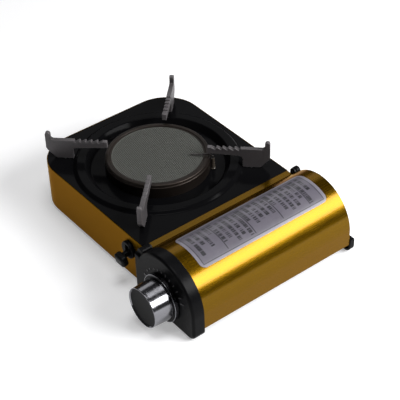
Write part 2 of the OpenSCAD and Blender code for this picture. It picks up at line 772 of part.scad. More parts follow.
module dial_marks() {
    placed() color("dimgray") translate([barrel_x, -cap_front, barrel_z]) rotate([90, 0, 0]) linear_extrude(mark_h) {
        for (turn = [first_mark : 12 : last_mark]) rotate(turn) translate([mark_r, -mark_w / 2])
            square([mark_w * (1.5 + (last_mark - turn) / 24), mark_w]);
        for (turn = [134, 146]) rotate(turn) translate([mark_r + mark_w, 0]) circle(r = mark_w);
        rotate(164) translate([mark_r, -mark_w]) square([3 * mark_w, 2 * mark_w]);
    }
}

// Hinge of the cover: pins fixed in the ears, brackets fixed inside the cover
boss_r = ear_r - sheet / 2;

module hinge_pins() {
    placed() color("silver") {
        rod_y(hinge_x, hinge_z, hinge_pin_r, cap_back - ear_r, cover_front + gap + bracket_t + hinge_pin_r);
        rod_y(hinge_x, hinge_z, hinge_pin_r, cover_back - gap - bracket_t - hinge_pin_r,
            rear_cap_back - cap_wall - gap);
    }
}

// The cover's section: barrel from the seam over the top to the right side, then straight down
module cover_wall(inner, outer) {
    difference() {
        union() {
            translate([barrel_x, barrel_z]) circle(r = outer);
            translate([barrel_x, cover_bottom]) square([outer, barrel_z - cover_bottom]);
        }
        translate([barrel_x, barrel_z]) circle(r = inner);
        translate([barrel_x - over, cover_bottom - over]) square([inner + over, barrel_z - cover_bottom + over]);
        translate([barrel_x - 2 * barrel_r, barrel_z - 2 * barrel_r])
            square([2 * barrel_r, 2 * barrel_r + barrel_drop]);
        translate([barrel_x - over, barrel_z - 2 * barrel_r])
            square([2 * barrel_r, 2 * barrel_r - barrel_z + cover_bottom]);
    }
}

module cylinder_cover() {
    hem = 3 * cover_t;
    placed() color("goldenrod") difference() {
        union() {
            along_y(cover_front, cover_back) cover_wall(barrel_r - cover_t, barrel_r);
            block([barrel_right - 2 * cover_t, cover_front + hem, cover_bottom],
                [barrel_right - cover_t / 2, cover_back - hem, cover_bottom + hem]);
            for (y = [cover_front, cover_back - hem]) along_y(y, y + hem)
                cover_wall(barrel_r - 1.8 * cover_t, barrel_r - cover_t / 2);
        }
        for (y = [cover_front - over, cover_back - 2 * bracket_t - over])
            rod_y(hinge_x, hinge_z, notch_r, y, y + 2 * bracket_t + 2 * over);
    }
}

module bracket_section() {
    difference() {
        union() {
            translate([hinge_x, hinge_z]) circle(r = boss_r);
            intersection() {
                translate([hinge_x, hinge_z]) circle(r = notch_r - gap);
                translate([hinge_x, hinge_z - boss_r * 0.9]) square([notch_r, boss_r * 1.2]);
            }
            intersection() {
                translate([barrel_x, barrel_z]) circle(r = barrel_r - 1.8 * cover_t);
                polygon([
                    [hinge_x, hinge_z - boss_r], [hinge_x + boss_r, hinge_z + boss_r * 0.8],
                    [barrel_x - half_chord * 0.4, barrel_z + barrel_r],
                    [barrel_x - half_chord * 0.3, barrel_z + barrel_r - 3 * boss_r]
                ]);
            }
        }
        translate([hinge_x, hinge_z]) circle(r = hinge_pin_r + run_fit);
    }
}

module cover_brackets() {
    placed() color("silver") {
        along_y(cover_front + gap, cover_front + gap + bracket_t) bracket_section();
        along_y(cover_back - gap - bracket_t, cover_back - gap) bracket_section();
    }
}

// Label: a thin skin on the barrel with rounded corners
module cover_label() {
    label_w = 2 * barrel_r * sin(label_arc / 2);
    round = label_w * 0.12;
    middle = cover_front + cover_len / 2;
    placed() color("lightsteelblue") intersection() {
        difference() {
            rod_y(barrel_x, barrel_z, barrel_r + label_t, cover_front, cover_back);
            rod_y(barrel_x, barrel_z, barrel_r, cover_front - over, cover_back + over);
        }
        translate([barrel_x, middle, barrel_z]) rotate([0, 90 - label_angle, 0]) linear_extrude(barrel_r + over) {
            square([label_w, label_len - 2 * round], center = true);
            square([label_w - 2 * round, label_len], center = true);
            for (sx = [-1, 1], sy = [-1, 1])
                translate([sx * (label_w / 2 - round), sy * (label_len / 2 - round)]) circle(r = round);
        }
    }
}

// Canister bay fittings
cradle_x = canister_r * 0.64;
cradle_w = 5 * sheet;
cradle_top = canister_z - sqrt(canister_r * canister_r - (cradle_x - cradle_w / 2) * (cradle_x - cradle_w / 2)) - gap;

module canister_cradle() {
    placed() color("gray") for (side = [-1, 1], share = [0.3, 0.72])
        block([canister_x + side * cradle_x - cradle_w / 2, box_d * share - canister_r / 2, floor_z],
            [canister_x + side * cradle_x + cradle_w / 2, box_d * share + canister_r / 2, cradle_top]);
}

// Lock lever: bezel and pivot behind the front face, crank pin drives the pusher rod
lever_x = box_w - lever_inset;
lever_z = plate_z - lever_drop;
bezel_spigot_r = bezel_r * 0.8;
stem_w = 4.6;
stem_h = 5.6;
slot_h = stem_h + 2 * (lever_pivot_in + bezel_t) * sin(lever_droop) + 2 * gap;
lever_pin_r = 1.5;
crank_pin_r = 2;
bracket_w = stem_w + 2 * gap + 4 * sheet;

module lever_bezel() {
    placed() color("black") difference() {
        union() {
            rod_y(lever_x, lever_z, bezel_r, -bezel_t * 0.7, 0);
            translate([lever_x, -bezel_t * 0.7, lever_z]) rotate([90, 0, 0])
                cylinder(r1 = bezel_r, r2 = bezel_r - bezel_t * 0.3, h = bezel_t * 0.3);
            rod_y(lever_x, lever_z, bezel_spigot_r, -over / 2, sheet + sheet);
        }
        along_y(-bezel_t - over, 2 * sheet + over) translate([lever_x, lever_z])
            square([stem_w + 2 * gap, slot_h], center = true);
    }
}

module lever_bracket() {
    front = 2 * sheet + gap;
    back = lever_pivot_in + 3 * lever_pin_r;
    placed() color("silver") difference() {
        union() {
            for (left = [lever_x - bracket_w / 2, lever_x + bracket_w / 2 - sheet])
                block([left, front, floor_z], [left + sheet, back, lever_z + 2 * lever_pin_r]);
            block([lever_x - bracket_w / 2, front, floor_z], [lever_x + bracket_w / 2, back, floor_z + sheet]);
        }
        rod_x(lever_pivot_in, lever_z, lever_pin_r, lever_x - bracket_w, lever_x + bracket_w);
    }
}

module lever_pin() {
    placed() color("gray") rod_x(lever_pivot_in, lever_z, lever_pin_r, lever_x - bracket_w / 2 - sheet,
        lever_x + bracket_w / 2 + sheet);
}

// The lever is drawn level and then drooped about its pivot
module lock_lever() {
    reach = lever_pivot_in + grip_out + grip_d;
    soft = grip_h * 0.24;
    placed() color("black") translate([lever_x, lever_pivot_in, lever_z]) rotate([lever_droop, 0, 0]) {
        difference() {
            union() {
                block([-stem_w / 2, -lever_pivot_in - grip_out - over, -stem_h / 2], [stem_w / 2, 0, stem_h / 2]);
                rod_x(0, 0, stem_h / 2 + sheet / 2, -stem_w / 2, stem_w / 2);
                block([-stem_w / 2, -crank_pin_r, 0], [stem_w / 2, crank_pin_r, crank_r]);
                rod_x(0, crank_r, crank_pin_r, -stem_w / 2, stem_w / 2 + 2 * gap + sheet + rod_w + gap);
            }
            rod_x(0, 0, lever_pin_r + run_fit, -stem_w, stem_w);
        }
        hull() for (sx = [-1, 1], sz = [-1, 1], y = [-reach + soft, -reach + grip_d - soft])
            translate([sx * (grip_w / 2 - soft), y, sz * (grip_h / 2 - soft) - soft]) sphere(r = soft, $fn = 24);
    }
}

// Pusher rod beside the partition: fork over the crank pin at the front, arm through the partition at the back
rod_w = 2.4;
rod_h = 7;
arm_x = box_w + 3 * rod_w;
rod_left = lever_x + stem_w / 2 + gap + sheet + 2 * gap;
crank_y = lever_pivot_in - crank_r * sin(lever_droop);
crank_z = lever_z + crank_r * cos(lever_droop);
rod_z = crank_z - 1.2;
fork_h = 2 * (crank_pin_r + 2 * gap) + crank_r * (1 - cos(lever_droop));

module pusher_rod() {
    fork_w = crank_pin_r + gap / 3;
    placed() color("silver") difference() {
        union() {
            block([rod_left, crank_y - 2 * crank_pin_r - rod_w / 2, rod_z - rod_h / 2],
                [rod_left + rod_w, arm_y + pusher_t, rod_z + rod_h / 2]);
            block([rod_left, arm_y, rod_z - rod_h / 2], [arm_x + rod_w, arm_y + pusher_t, rod_z + rod_h / 2]);
            block([arm_x, arm_y, rod_z - rod_h / 2], [arm_x + rod_w, pusher_y, rod_z + rod_h / 2]);
            block([arm_x, pusher_y - pusher_t, rod_z - rod_h / 2], [canister_x - sheet, pusher_y, rod_z + rod_h / 2]);
        }
        block([rod_left - over, crank_y - fork_w, crank_z - fork_h / 2],
            [rod_left + rod_w + over, crank_y + fork_w, crank_z + fork_h / 2]);
    }
}

module canister_pusher() {
    placed() color("gray") difference() {
        rod_y(canister_x, canister_z, canister_r * 0.6, pusher_y - 2 * pusher_t, pusher_y - pusher_t);
        rod_y(canister_x, canister_z, canister_r * 0.2, pusher_y - 2 * pusher_t - over, pusher_y - pusher_t + over);
    }
}

module canister_magnet() {
    placed() color("dimgray") {
        block([canister_x - 2 * socket_r, box_d * 0.5 - canister_r / 4, floor_z],
            [canister_x + 2 * socket_r, box_d * 0.5 + canister_r / 4, floor_z + canister_rise - gap]);
    }
}

module rod_guides() {
    placed() color("silver") for (share = [0.3, 0.7]) difference() {
        block([rod_left - sheet - gap, box_d * share, rod_z - rod_h / 2 - gap - sheet],
            [box_w, box_d * share + 6 * sheet, plate_under - 2 * gap]);
        block([rod_left - gap, box_d * share - over, rod_z - rod_h / 2 - gap],
            [rod_left + rod_w + gap, box_d * share + 6 * sheet + over, rod_z + rod_h / 2 + gap]);
    }
}

// Knob on the valve spindle
knob_back = -cap_front - mark_h - gap;
shell_back = knob_back - 3 * knob_wall;
spindle_flat = spindle_r * 0.6;
hub_front = knob_front + knob_recess + 2 * knob_wall;
bore_front = hub_front + 2 * knob_wall;

module valve_spindle() {
    placed() color("silver") difference() {
        rod_y(barrel_x, barrel_z, spindle_r, bore_front, spindle_end - gap);
        block([barrel_x - spindle_r, knob_front, barrel_z + spindle_flat],
            [barrel_x + spindle_r, knob_back - knob_wall, barrel_z + 2 * spindle_r]);
    }
}

module knob_core() {
    placed() color("black") difference() {
        union() {
            rod_y(barrel_x, barrel_z, knob_ring_r - knob_wall / 2, shell_back, knob_back);
            rod_y(barrel_x, barrel_z, 2.4 * spindle_r, hub_front, shell_back + over / 2);
            rod_y(barrel_x, barrel_z, knob_r - knob_wall, shell_back - knob_wall, shell_back + over / 2);
        }
        intersection() {
            rod_y(barrel_x, barrel_z, spindle_r, bore_front, knob_back + over);
            block([barrel_x - spindle_r, knob_front, barrel_z - spindle_r],
                [barrel_x + spindle_r, knob_back - knob_wall, barrel_z + spindle_flat]);
        }
        rod_y(barrel_x, barrel_z, spindle_r, knob_back - knob_wall, knob_back + over);
    }
}

module knob_shell() {
    placed() color("silver") translate([barrel_x, 0, barrel_z]) rotate([90, 0, 0]) rotate_extrude() polygon([
        [knob_r - knob_wall, -shell_back], [knob_r + knob_wall * 0.8, -shell_back],
        [knob_r, -knob_front - knob_wall], [knob_r - knob_wall / 3, -knob_front],
        [knob_r - knob_wall * 0.9, -knob_front], [knob_r - knob_wall * 1.2, -knob_front - knob_recess],
        [knob_r - knob_wall * 1.2, -knob_front - knob_recess - knob_wall],
        [knob_r - knob_wall, -knob_front - knob_recess - knob_wall]
    ]);
}

module knob_face() {
    placed() color([0.12, 0.12, 0.12]) rod_y(barrel_x, barrel_z, knob_r - knob_wall * 1.2, knob_front + knob_recess,
        hub_front);
}

module knob_ring() {
    placed() color("silver") difference() {
        union() {
            rod_y(barrel_x, barrel_z, knob_ring_r, shell_back + knob_wall, knob_back);
            rod_y(barrel_x, barrel_z, knob_ring_r - knob_wall / 4, shell_back, knob_back);
        }
        rod_y(barrel_x, barrel_z, knob_ring_r - knob_wall / 2, shell_back - over, knob_back + over);
    }
}

// Pan supports: numbered from the back right corner, anticlockwise
module at_pivot(i) {
    at_burner() rotate([0, 0, 45 + 90 * i]) translate([support_pivot_r, 0, 0]) children();
}

module support_profile() {
    foot_in = support_pivot_r - support_foot / 2;
    foot_out = support_pivot_r + support_foot / 2;
    under = support_top - support_arm;
    tip = finger_t / 2;
    finger_top = support_top + finger_h;
    tip_points = [for (turn = [180 : -20 : 0])
        [support_outer_r - tip + 0.9 * tip * cos(turn), finger_top - tip + tip * sin(turn)]];
    difference() {
        polygon(concat([[support_inner_r, under + support_arm * 0.2], [support_inner_r, support_top],
            [support_outer_r - finger_t, support_top]], tip_points, [[support_outer_r, under - support_arm * 0.35],
            [foot_out, gap], [foot_in, gap], [foot_in, under - support_arm * 0.2],
            [foot_in - support_arm * 0.2, under]]));
        for (k = [0 : notch_count - 1]) translate([support_inner_r + (k + 1.2) * notch_pitch, support_top])
            polygon([
                [-notch_depth * 1.1, over], [-notch_depth * 1.1, 0], [notch_depth * 0.5, -notch_depth],
                [notch_depth * 1.1, -notch_depth], [notch_depth * 1.1, over]
            ]);
    }
}

module pan_support(i) {
    placed() color("gray") translate([0, 0, plate_z]) difference() {
        at_burner() rotate([0, 0, 45 + 90 * i]) translate([0, support_t / 2, 0]) rotate([90, 0, 0])
            linear_extrude(support_t) support_profile();
        at_pivot(i) translate([0, 0, -over]) cylinder(r = support_rivet_r + run_fit, h = support_arm + over);
    }
}

module support_rivets() {
    placed() color("silver") for (i = [0 : 3]) at_pivot(i) {
        translate([0, 0, plate_under - sheet]) cylinder(r = support_rivet_r, h = support_arm + 2 * sheet - gap);
        translate([0, 0, plate_z]) cylinder(r = support_t / 2, h = gap);
        translate([0, 0, plate_under - sheet]) cylinder(r = support_t / 2, h = sheet);
    }
}

module pan_support_1() { pan_support(0); }
module pan_support_2() { pan_support(1); }
module pan_support_3() { pan_support(2); }
module pan_support_4() { pan_support(3); }

base_pan();
side_shell();
partition_wall();
top_plate();
heat_shield();
burner_cup();
mixing_tube();
burner_gasket();
ceramic_plate();
burner_ring();
gas_jet();
gas_pipe();
regulator_body();
diaphragm_cap();
inlet_flange();
inlet_seal();
piezo_igniter();
igniter_lead();
spark_electrode();
electrode_wire();
front_cap();
dial_marks();
rear_cap();
canister_cradle();
canister_magnet();
hinge_pins();
rubber_feet();
case_screws();
support_rivets();
lever_bezel();
lever_bracket();
lever_pin();
rod_guides();
cylinder_cover();
cover_brackets();
cover_label();
knob_core();
knob_shell();
knob_face();
knob_ring();
valve_spindle();
lock_lever();
pusher_rod();
canister_pusher();
pan_support_1();
pan_support_2();
pan_support_3();
pan_support_4();
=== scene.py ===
"""Looks of a tabletop butane cassette stove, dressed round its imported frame.

Every length is in metres, in the frame's own axes: X from the burner to the canister bay, Y from
the knob to the back, Z up. Sizes are written in millimetres times MM.
"""

import json
import logging
from collections.abc import Callable, Sequence
from dataclasses import dataclass, field
from enum import Enum
from math import atan2, cos, degrees, pi, radians, sin, sqrt

import bmesh
import bpy
from mathutils import Matrix, Vector


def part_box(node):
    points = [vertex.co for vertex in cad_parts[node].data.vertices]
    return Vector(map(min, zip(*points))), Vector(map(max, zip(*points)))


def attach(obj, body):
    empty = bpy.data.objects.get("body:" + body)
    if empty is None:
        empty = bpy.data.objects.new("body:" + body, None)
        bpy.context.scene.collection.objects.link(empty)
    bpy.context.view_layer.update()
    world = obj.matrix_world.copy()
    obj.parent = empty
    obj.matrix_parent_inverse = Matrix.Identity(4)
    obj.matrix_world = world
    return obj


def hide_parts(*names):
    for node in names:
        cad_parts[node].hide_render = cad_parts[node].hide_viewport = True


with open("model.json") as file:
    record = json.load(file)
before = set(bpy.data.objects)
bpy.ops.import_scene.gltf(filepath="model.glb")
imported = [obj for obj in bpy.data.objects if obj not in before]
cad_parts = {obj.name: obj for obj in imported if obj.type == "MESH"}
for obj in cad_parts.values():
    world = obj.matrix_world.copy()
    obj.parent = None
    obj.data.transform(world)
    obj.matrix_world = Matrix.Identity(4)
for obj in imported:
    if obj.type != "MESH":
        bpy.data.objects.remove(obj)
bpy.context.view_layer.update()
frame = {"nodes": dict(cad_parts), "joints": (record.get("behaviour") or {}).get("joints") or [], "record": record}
LOG = logging.getLogger("stove")

MM = 0.001
FINE = 128
BEZEL_STEPS = 64
HOLE_STEPS = 48
COARSE = 32
WIRE_ROUND = 4
MIDDLE_RANGE = (0.3, 0.7)
CLOUD_OCTAVES = 3
NEAR = 0.1 * MM
Point2 = tuple[float, float]
Point3 = tuple[float, float, float]
Colour = Point3
Socket = bpy.types.NodeSocket


class Axis(Enum):
    """The way a turned piece's own height points, by the turn that it takes."""

    UP = (0, 0, 0)
    FORWARD = (pi / 2, 0, 0)


class Part(Enum):
    """The parts of a mesh that can be picked, by their name in bmesh."""

    VERT = "verts"
    EDGE = "edges"
    FACE = "faces"


def deselect() -> None:
    """Leaves no object selected."""
    bpy.ops.object.select_all(action="DESELECT")


def select(*pieces: bpy.types.Object) -> None:
    """Selects these pieces alone, the first one active.

    Args:
        pieces: the objects to select.
    """
    deselect()
    for piece in pieces:
        piece.select_set(True)
    bpy.context.view_layer.objects.active = pieces[0]


def edit(piece: bpy.types.Object) -> None:
    """Opens a piece in edit mode with everything selected.

    Args:
        piece: the mesh object to open.
    """
    select(piece)
    bpy.ops.object.mode_set(mode="EDIT")
    bpy.ops.mesh.select_all(action="SELECT")


def done() -> None:
    """Closes edit mode."""
    bpy.ops.object.mode_set(mode="OBJECT")


def pick(piece: bpy.types.Object, part: Part, wanted: Callable[..., bool]) -> None:
    """Selects parts of the piece that is open in edit mode, and nothing else.

    Args:
        piece: the open piece.
        part: the parts to choose from.
        wanted: says of each part whether to select it.
    """
    bpy.ops.mesh.select_mode(type=part.name)
    bpy.ops.mesh.select_all(action="DESELECT")
    mesh = bmesh.from_edit_mesh(piece.data)
    for item in getattr(mesh, part.value):
        item.select_set(wanted(item))
    bmesh.update_edit_mesh(piece.data)


def extrude(along: Sequence[float]) -> None:
    """Extrudes what is selected in the open piece.

    Args:
        along: how far, on each axis.
    """
    bpy.ops.mesh.extrude_region_move(TRANSFORM_OT_translate={"value": along})


def drop_faces() -> None:
    """Removes the selected faces of the open piece and keeps their edges."""
    bpy.ops.mesh.delete(type="ONLY_FACE")


def outward() -> None:
    """Points all faces of the open piece outwards."""
    bpy.ops.mesh.select_all(action="SELECT")
    bpy.ops.mesh.normals_make_consistent(inside=False)


def apply_modifier(piece: bpy.types.Object, kind: str, **settings: object) -> None:
    """Adds a modifier to a piece and applies it.

    Args:
        piece: the mesh object.
        kind: the modifier's type.
        settings: the modifier's properties.
    """
    select(piece)
    modifier = piece.modifiers.new(kind.title(), kind)
    for name, value in settings.items():
        setattr(modifier, name, value)
    bpy.ops.object.modifier_apply(modifier=modifier.name)


def round_edges(piece: bpy.types.Object, width: float, segments: int = 2,
                angle: float = 50.0) -> None:
    """Rounds every edge that is sharper than an angle.

    Args:
        piece: the mesh object.
        width: the width of the rounding.
        segments: the faces across it.
        angle: the least angle of an edge to round, in degrees.
    """
    apply_modifier(piece, "BEVEL", width=width, segments=segments, limit_method="ANGLE",
                   angle_limit=radians(angle), use_clamp_overlap=True)


def smooth(piece: bpy.types.Object, angle: float = 40.0) -> None:
    """Shades a piece smooth, except at its sharp edges.

    Args:
        piece: the mesh object.
        angle: the least angle of an edge that stays sharp, in degrees.
    """
    select(piece)
    bpy.ops.object.shade_smooth_by_angle(angle=radians(angle))
    apply_modifier(piece, "WEIGHTED_NORMAL", keep_sharp=True, weight=100)


def settle(piece: bpy.types.Object) -> None:
    """Moves a piece's place, turn and scale into its mesh.

    Args:
        piece: the mesh object.
    """
    select(piece)
    bpy.ops.object.transform_apply(location=True, rotation=True, scale=True)


def ring_of(name: str, radius: float, vertices: int, fill: str = "NOTHING") -> bpy.types.Object:
    """Adds a circle at the origin.

    Args:
        name: the piece's name.
        radius: the circle's radius.
        vertices: its number of points.
        fill: how it is filled.

    Returns:
        The new object, active and selected.
    """
    deselect()
    bpy.ops.mesh.primitive_circle_add(vertices=vertices, radius=radius, fill_type=fill)
    piece = bpy.context.object
    piece.name = name
    piece.data.name = name
    return piece


def turned(name: str, profile: Sequence[Point2], centre: Vector, axis: Axis = Axis.UP,
           steps: int = FINE, closed: bool = True) -> bpy.types.Object:
    """Turns a profile about an axis, as on a lathe.

    Args:
        name: the piece's name.
        profile: points of radius and height, from one end to the other.
        centre: where the axis stands at height zero.
        axis: the way the height points.
        steps: the faces round the axis.
        closed: joins the last point to the first if true, and caps both ends if not.

    Returns:
        The new piece.
    """
    radius, height = profile[0]
    piece = ring_of(name, radius, steps)
    edit(piece)
    bpy.ops.transform.translate(value=(0, 0, height))
    for (r0, z0), (r1, z1) in zip(profile, profile[1:]):
        bpy.ops.mesh.extrude_edges_move(TRANSFORM_OT_translate={"value": (0, 0, z1 - z0)})
        if r1 != r0:
            grow = r1 / r0
            bpy.ops.transform.resize(value=(grow, grow, 1), center_override=(0, 0, z1))
    bpy.ops.mesh.select_all(action="DESELECT")
    bpy.ops.mesh.select_mode(type="EDGE")
    bpy.ops.mesh.select_non_manifold()
    if closed:
        bpy.ops.mesh.bridge_edge_loops()
    else:
        bpy.ops.mesh.select_all(action="SELECT")
        bpy.ops.mesh.fill_holes(sides=0)
    outward()
    done()
    piece.rotation_euler = axis.value
    piece.location = centre
    settle(piece)
    return piece


def slab(name: str, outline: Sequence[Point2], front: float, depth: float) -> bpy.types.Object:
    """Makes a plate from an outline in the X-Z plane.

    Args:
        name: the piece's name.
        outline: points of x and z, in order.
        front: the plate's front face along Y.
        depth: its thickness backwards.

    Returns:
        The new piece.
    """
    piece = ring_of(name, 1.0, len(outline), "NGON")
    for vertex, (x, z) in zip(piece.data.vertices, outline):
        vertex.co = (x, front, z)
    edit(piece)
    extrude((0, depth, 0))
    outward()
    done()
    return piece


def block(name: str, low: Sequence[float], high: Sequence[float]) -> bpy.types.Object:
    """Adds a block between two corners.

    Args:
        name: the piece's name.
        low: its lowest corner.
        high: its highest corner.

    Returns:
        The new piece.
    """
    deselect()
    middle = [(a + b) / 2 for a, b in zip(low, high)]
    bpy.ops.mesh.primitive_cube_add(size=1, location=middle)
    piece = bpy.context.object
    piece.name = name
    piece.scale = [b - a for a, b in zip(low, high)]
    settle(piece)
    return piece


def cut(piece: bpy.types.Object, cutter: bpy.types.Object) -> None:
    """Cuts one piece by another, which is then removed.

    Args:
        piece: the piece that stays.
        cutter: the solid that is taken out of it.
    """
    apply_modifier(piece, "BOOLEAN", operation="DIFFERENCE", solver="EXACT", object=cutter)
    bpy.data.objects.remove(cutter)


def drill(piece: bpy.types.Object, radius: float, span: Point2, centre: Vector,
          axis: Axis = Axis.FORWARD, steps: int = COARSE) -> None:
    """Cuts a round hole into a piece.

    Args:
        piece: the piece to drill.
        radius: the hole's radius.
        span: the heights of the hole's ends.
        centre: where the axis stands at height zero.
        axis: the way the height points.
        steps: the faces round the hole.
    """
    cut(piece, turned("drill", [(radius, end) for end in span], centre, axis, steps,
                      closed=False))


def unite(piece: bpy.types.Object, other: bpy.types.Object) -> None:
    """Melts another piece into one, and removes the other.

    Args:
        piece: the piece that stays.
        other: the solid that is added to it.
    """
    apply_modifier(piece, "BOOLEAN", operation="UNION", solver="EXACT", object=other)
    bpy.data.objects.remove(other)


def join(*pieces: bpy.types.Object) -> bpy.types.Object:
    """Joins pieces into the first one, without cutting them.

    Args:
        pieces: the objects to join.

    Returns:
        The first piece, which now holds all of them.
    """
    select(*pieces)
    bpy.ops.object.join()
    return pieces[0]


def arc(centre: Point2, radius: float, start: float, end: float, steps: int) -> list[Point2]:
    """Points along an arc.

    Args:
        centre: the arc's centre.
        radius: its radius.
        start: its first bearing, in degrees.
        end: its last bearing, in degrees.
        steps: the parts that it is cut into.

    Returns:
        One more point than there are steps.
    """
    turns = [radians(start + (end - start) * k / steps) for k in range(steps + 1)]
    return [(centre[0] + radius * cos(t), centre[1] + radius * sin(t)) for t in turns]


def spin(piece: bpy.types.Object, angle: float, axis: str, place: Vector) -> None:
    """Turns a piece about an axis through the origin, and then moves it.

    Args:
        piece: the mesh object, modelled at the origin.
        angle: the turn, in degrees.
        axis: the letter of the axis.
        place: where the origin goes.
    """
    piece.matrix_world = Matrix.Translation(place) @ Matrix.Rotation(radians(angle), 4, axis)
    settle(piece)


def bar(name: str, radius: float, points: Sequence[Vector]) -> bpy.types.Object:
    """Makes a round wire along a route.

    Args:
        name: the piece's name.
        radius: the wire's radius.
        points: the route.

    Returns:
        The wire as a mesh.
    """
    deselect()
    bpy.ops.curve.primitive_bezier_curve_add()
    piece = bpy.context.object
    piece.name = name
    curve = piece.data
    curve.splines.clear()
    line = curve.splines.new("BEZIER")
    line.bezier_points.add(len(points) - 1)
    for knot, point in zip(line.bezier_points, points):
        knot.co = point
        knot.handle_left_type = knot.handle_right_type = "AUTO"
    curve.bevel_depth = radius
    curve.bevel_resolution = WIRE_ROUND
    curve.use_fill_caps = True
    bpy.ops.object.convert(target="MESH")
    piece = bpy.context.object
    smooth(piece)
    return piece


class Graph:
    """A material's node tree, built a step at a time."""

    def __init__(self, name: str) -> None:
        """Starts a material with one Principled shader.

        Args:
            name: the material's name.
        """
        self.material = bpy.data.materials.new(name)
        self.material.use_nodes = True
        self.tree = self.material.node_tree
        self.shader = self.tree.nodes["Principled BSDF"]
        self.point = self.tree.nodes.new("ShaderNodeTexCoord").outputs["Object"]

    def put(self, socket: Socket, value: object) -> None:
        """Links a socket, or sets its constant value.

        Args:
            socket: the input socket.
            value: another socket to link from, a colour or a number.
        """
        if isinstance(value, Socket):
            self.tree.links.new(value, socket)
        elif socket.type == "RGBA":
            socket.default_value = (*value, 1)
        else:
            socket.default_value = value

    def set(self, **sockets: object) -> None:
        """Sets or drives the shader's sockets.

        Args:
            sockets: values or links by socket name, with _ for a space.
        """
        for name, value in sockets.items():
            self.put(self.shader.inputs[name.replace("_", " ")], value)

    def node(self, kind: str, **inputs: object) -> bpy.types.Node:
        """Adds a node.

        Args:
            kind: the node's type, without the ShaderNode prefix.
            inputs: socket values or links, by socket name with _ for a space.

        Returns:
            The node.
        """
        made = self.tree.nodes.new("ShaderNode" + kind)
        for name, value in inputs.items():
            self.put(made.inputs[name.replace("_", " ")], value)
        return made

    def noise(self, scale: float, detail: float, stretch: Point3 = (1, 1, 1)) -> Socket:
        """Adds a noise pattern.

        Args:
            scale: its density per metre.
            detail: its number of octaves.
            stretch: the factor along each axis.

        Returns:
            Its value, from 0 to 1.
        """
        spot = self.node("Mapping", Vector=self.point, Scale=stretch).outputs["Vector"]
        return self.node("TexNoise", Vector=spot, Scale=scale, Detail=detail).outputs["Fac"]

    def spread(self, value: Socket, low: float, high: float,
               source: Point2 = MIDDLE_RANGE) -> Socket:
        """Maps a part of a pattern's range onto new limits.

        Args:
            value: a pattern from 0 to 1.
            low: the result at the lower end of the source range.
            high: the result at its upper end.
            source: the range that is mapped, the middle of a noise if not given.

        Returns:
            The mapped value.
        """
        made = self.node("MapRange", Value=value, From_Min=source[0], From_Max=source[1],
                         To_Min=low, To_Max=high)
        return made.outputs["Result"]

    def blend(self, factor: Socket, first: Colour | Socket, second: Colour | Socket) -> Socket:
        """Mixes two colours by a pattern.

        Args:
            factor: 0 for the first colour and 1 for the second.
            first: a colour or a link.
            second: a colour or a link.

        Returns:
            The mixed colour.
        """
        made = self.tree.nodes.new("ShaderNodeMix")
        made.data_type = "RGBA"
        sockets = [socket for socket in made.inputs if socket.enabled]
        for socket, value in zip(sockets, (factor, first, second)):
            self.put(socket, value)
        return next(socket for socket in made.outputs if socket.enabled)

    def math(self, kind: str, first: object, second: object = 0.0) -> Socket:
        """Combines two values.

        Args:
            kind: the operation's name.
            first: a number or a link.
            second: a number or a link.

        Returns:
            The result.
        """
        made = self.tree.nodes.new("ShaderNodeMath")
        made.operation = kind
        for socket, value in zip(made.inputs, (first, second)):
            self.put(socket, value)
        return made.outputs[0]

    def chain(self, kind: str, *values: object) -> Socket:
        """Combines any number of values by one operation.

        Args:
            kind: the operation's name.
            values: numbers or links.

        Returns:
            The result.
        """
        result = values[0]
        for value in values[1:]:
            result = self.math(kind, result, value)
        return result

    def near(self, value: Socket, centre: float, half: float) -> Socket:
        """Marks where a value is close to another.

        Args:
            value: the value to test.
            centre: the middle of the range.
            half: half the range's width.

        Returns:
            1 inside the range and 0 outside it.
        """
        gap = self.math("ABSOLUTE", self.math("SUBTRACT", value, centre))
        return self.math("LESS_THAN", gap, half)

    def bump(self, height: Socket, strength: float, depth: float) -> None:
        """Raises the surface by a pattern.

        Args:
            height: the pattern.
            strength: from 0 to 1.
            depth: the full height, in metres.
        """
        made = self.node("Bump", Height=height, Strength=strength, Distance=depth)
        self.set(Normal=made.outputs["Normal"])


class Pattern(Enum):
    """How a finish breaks up its surface: its bump's strength, and its noises' octaves."""

    BRUSHED = (0.35, 3, 3)
    SPECKLED = (0.6, 2, 2)
    CLOUDY = (0.3, 3, 4)
    WORN = (0.5, 4, 4)


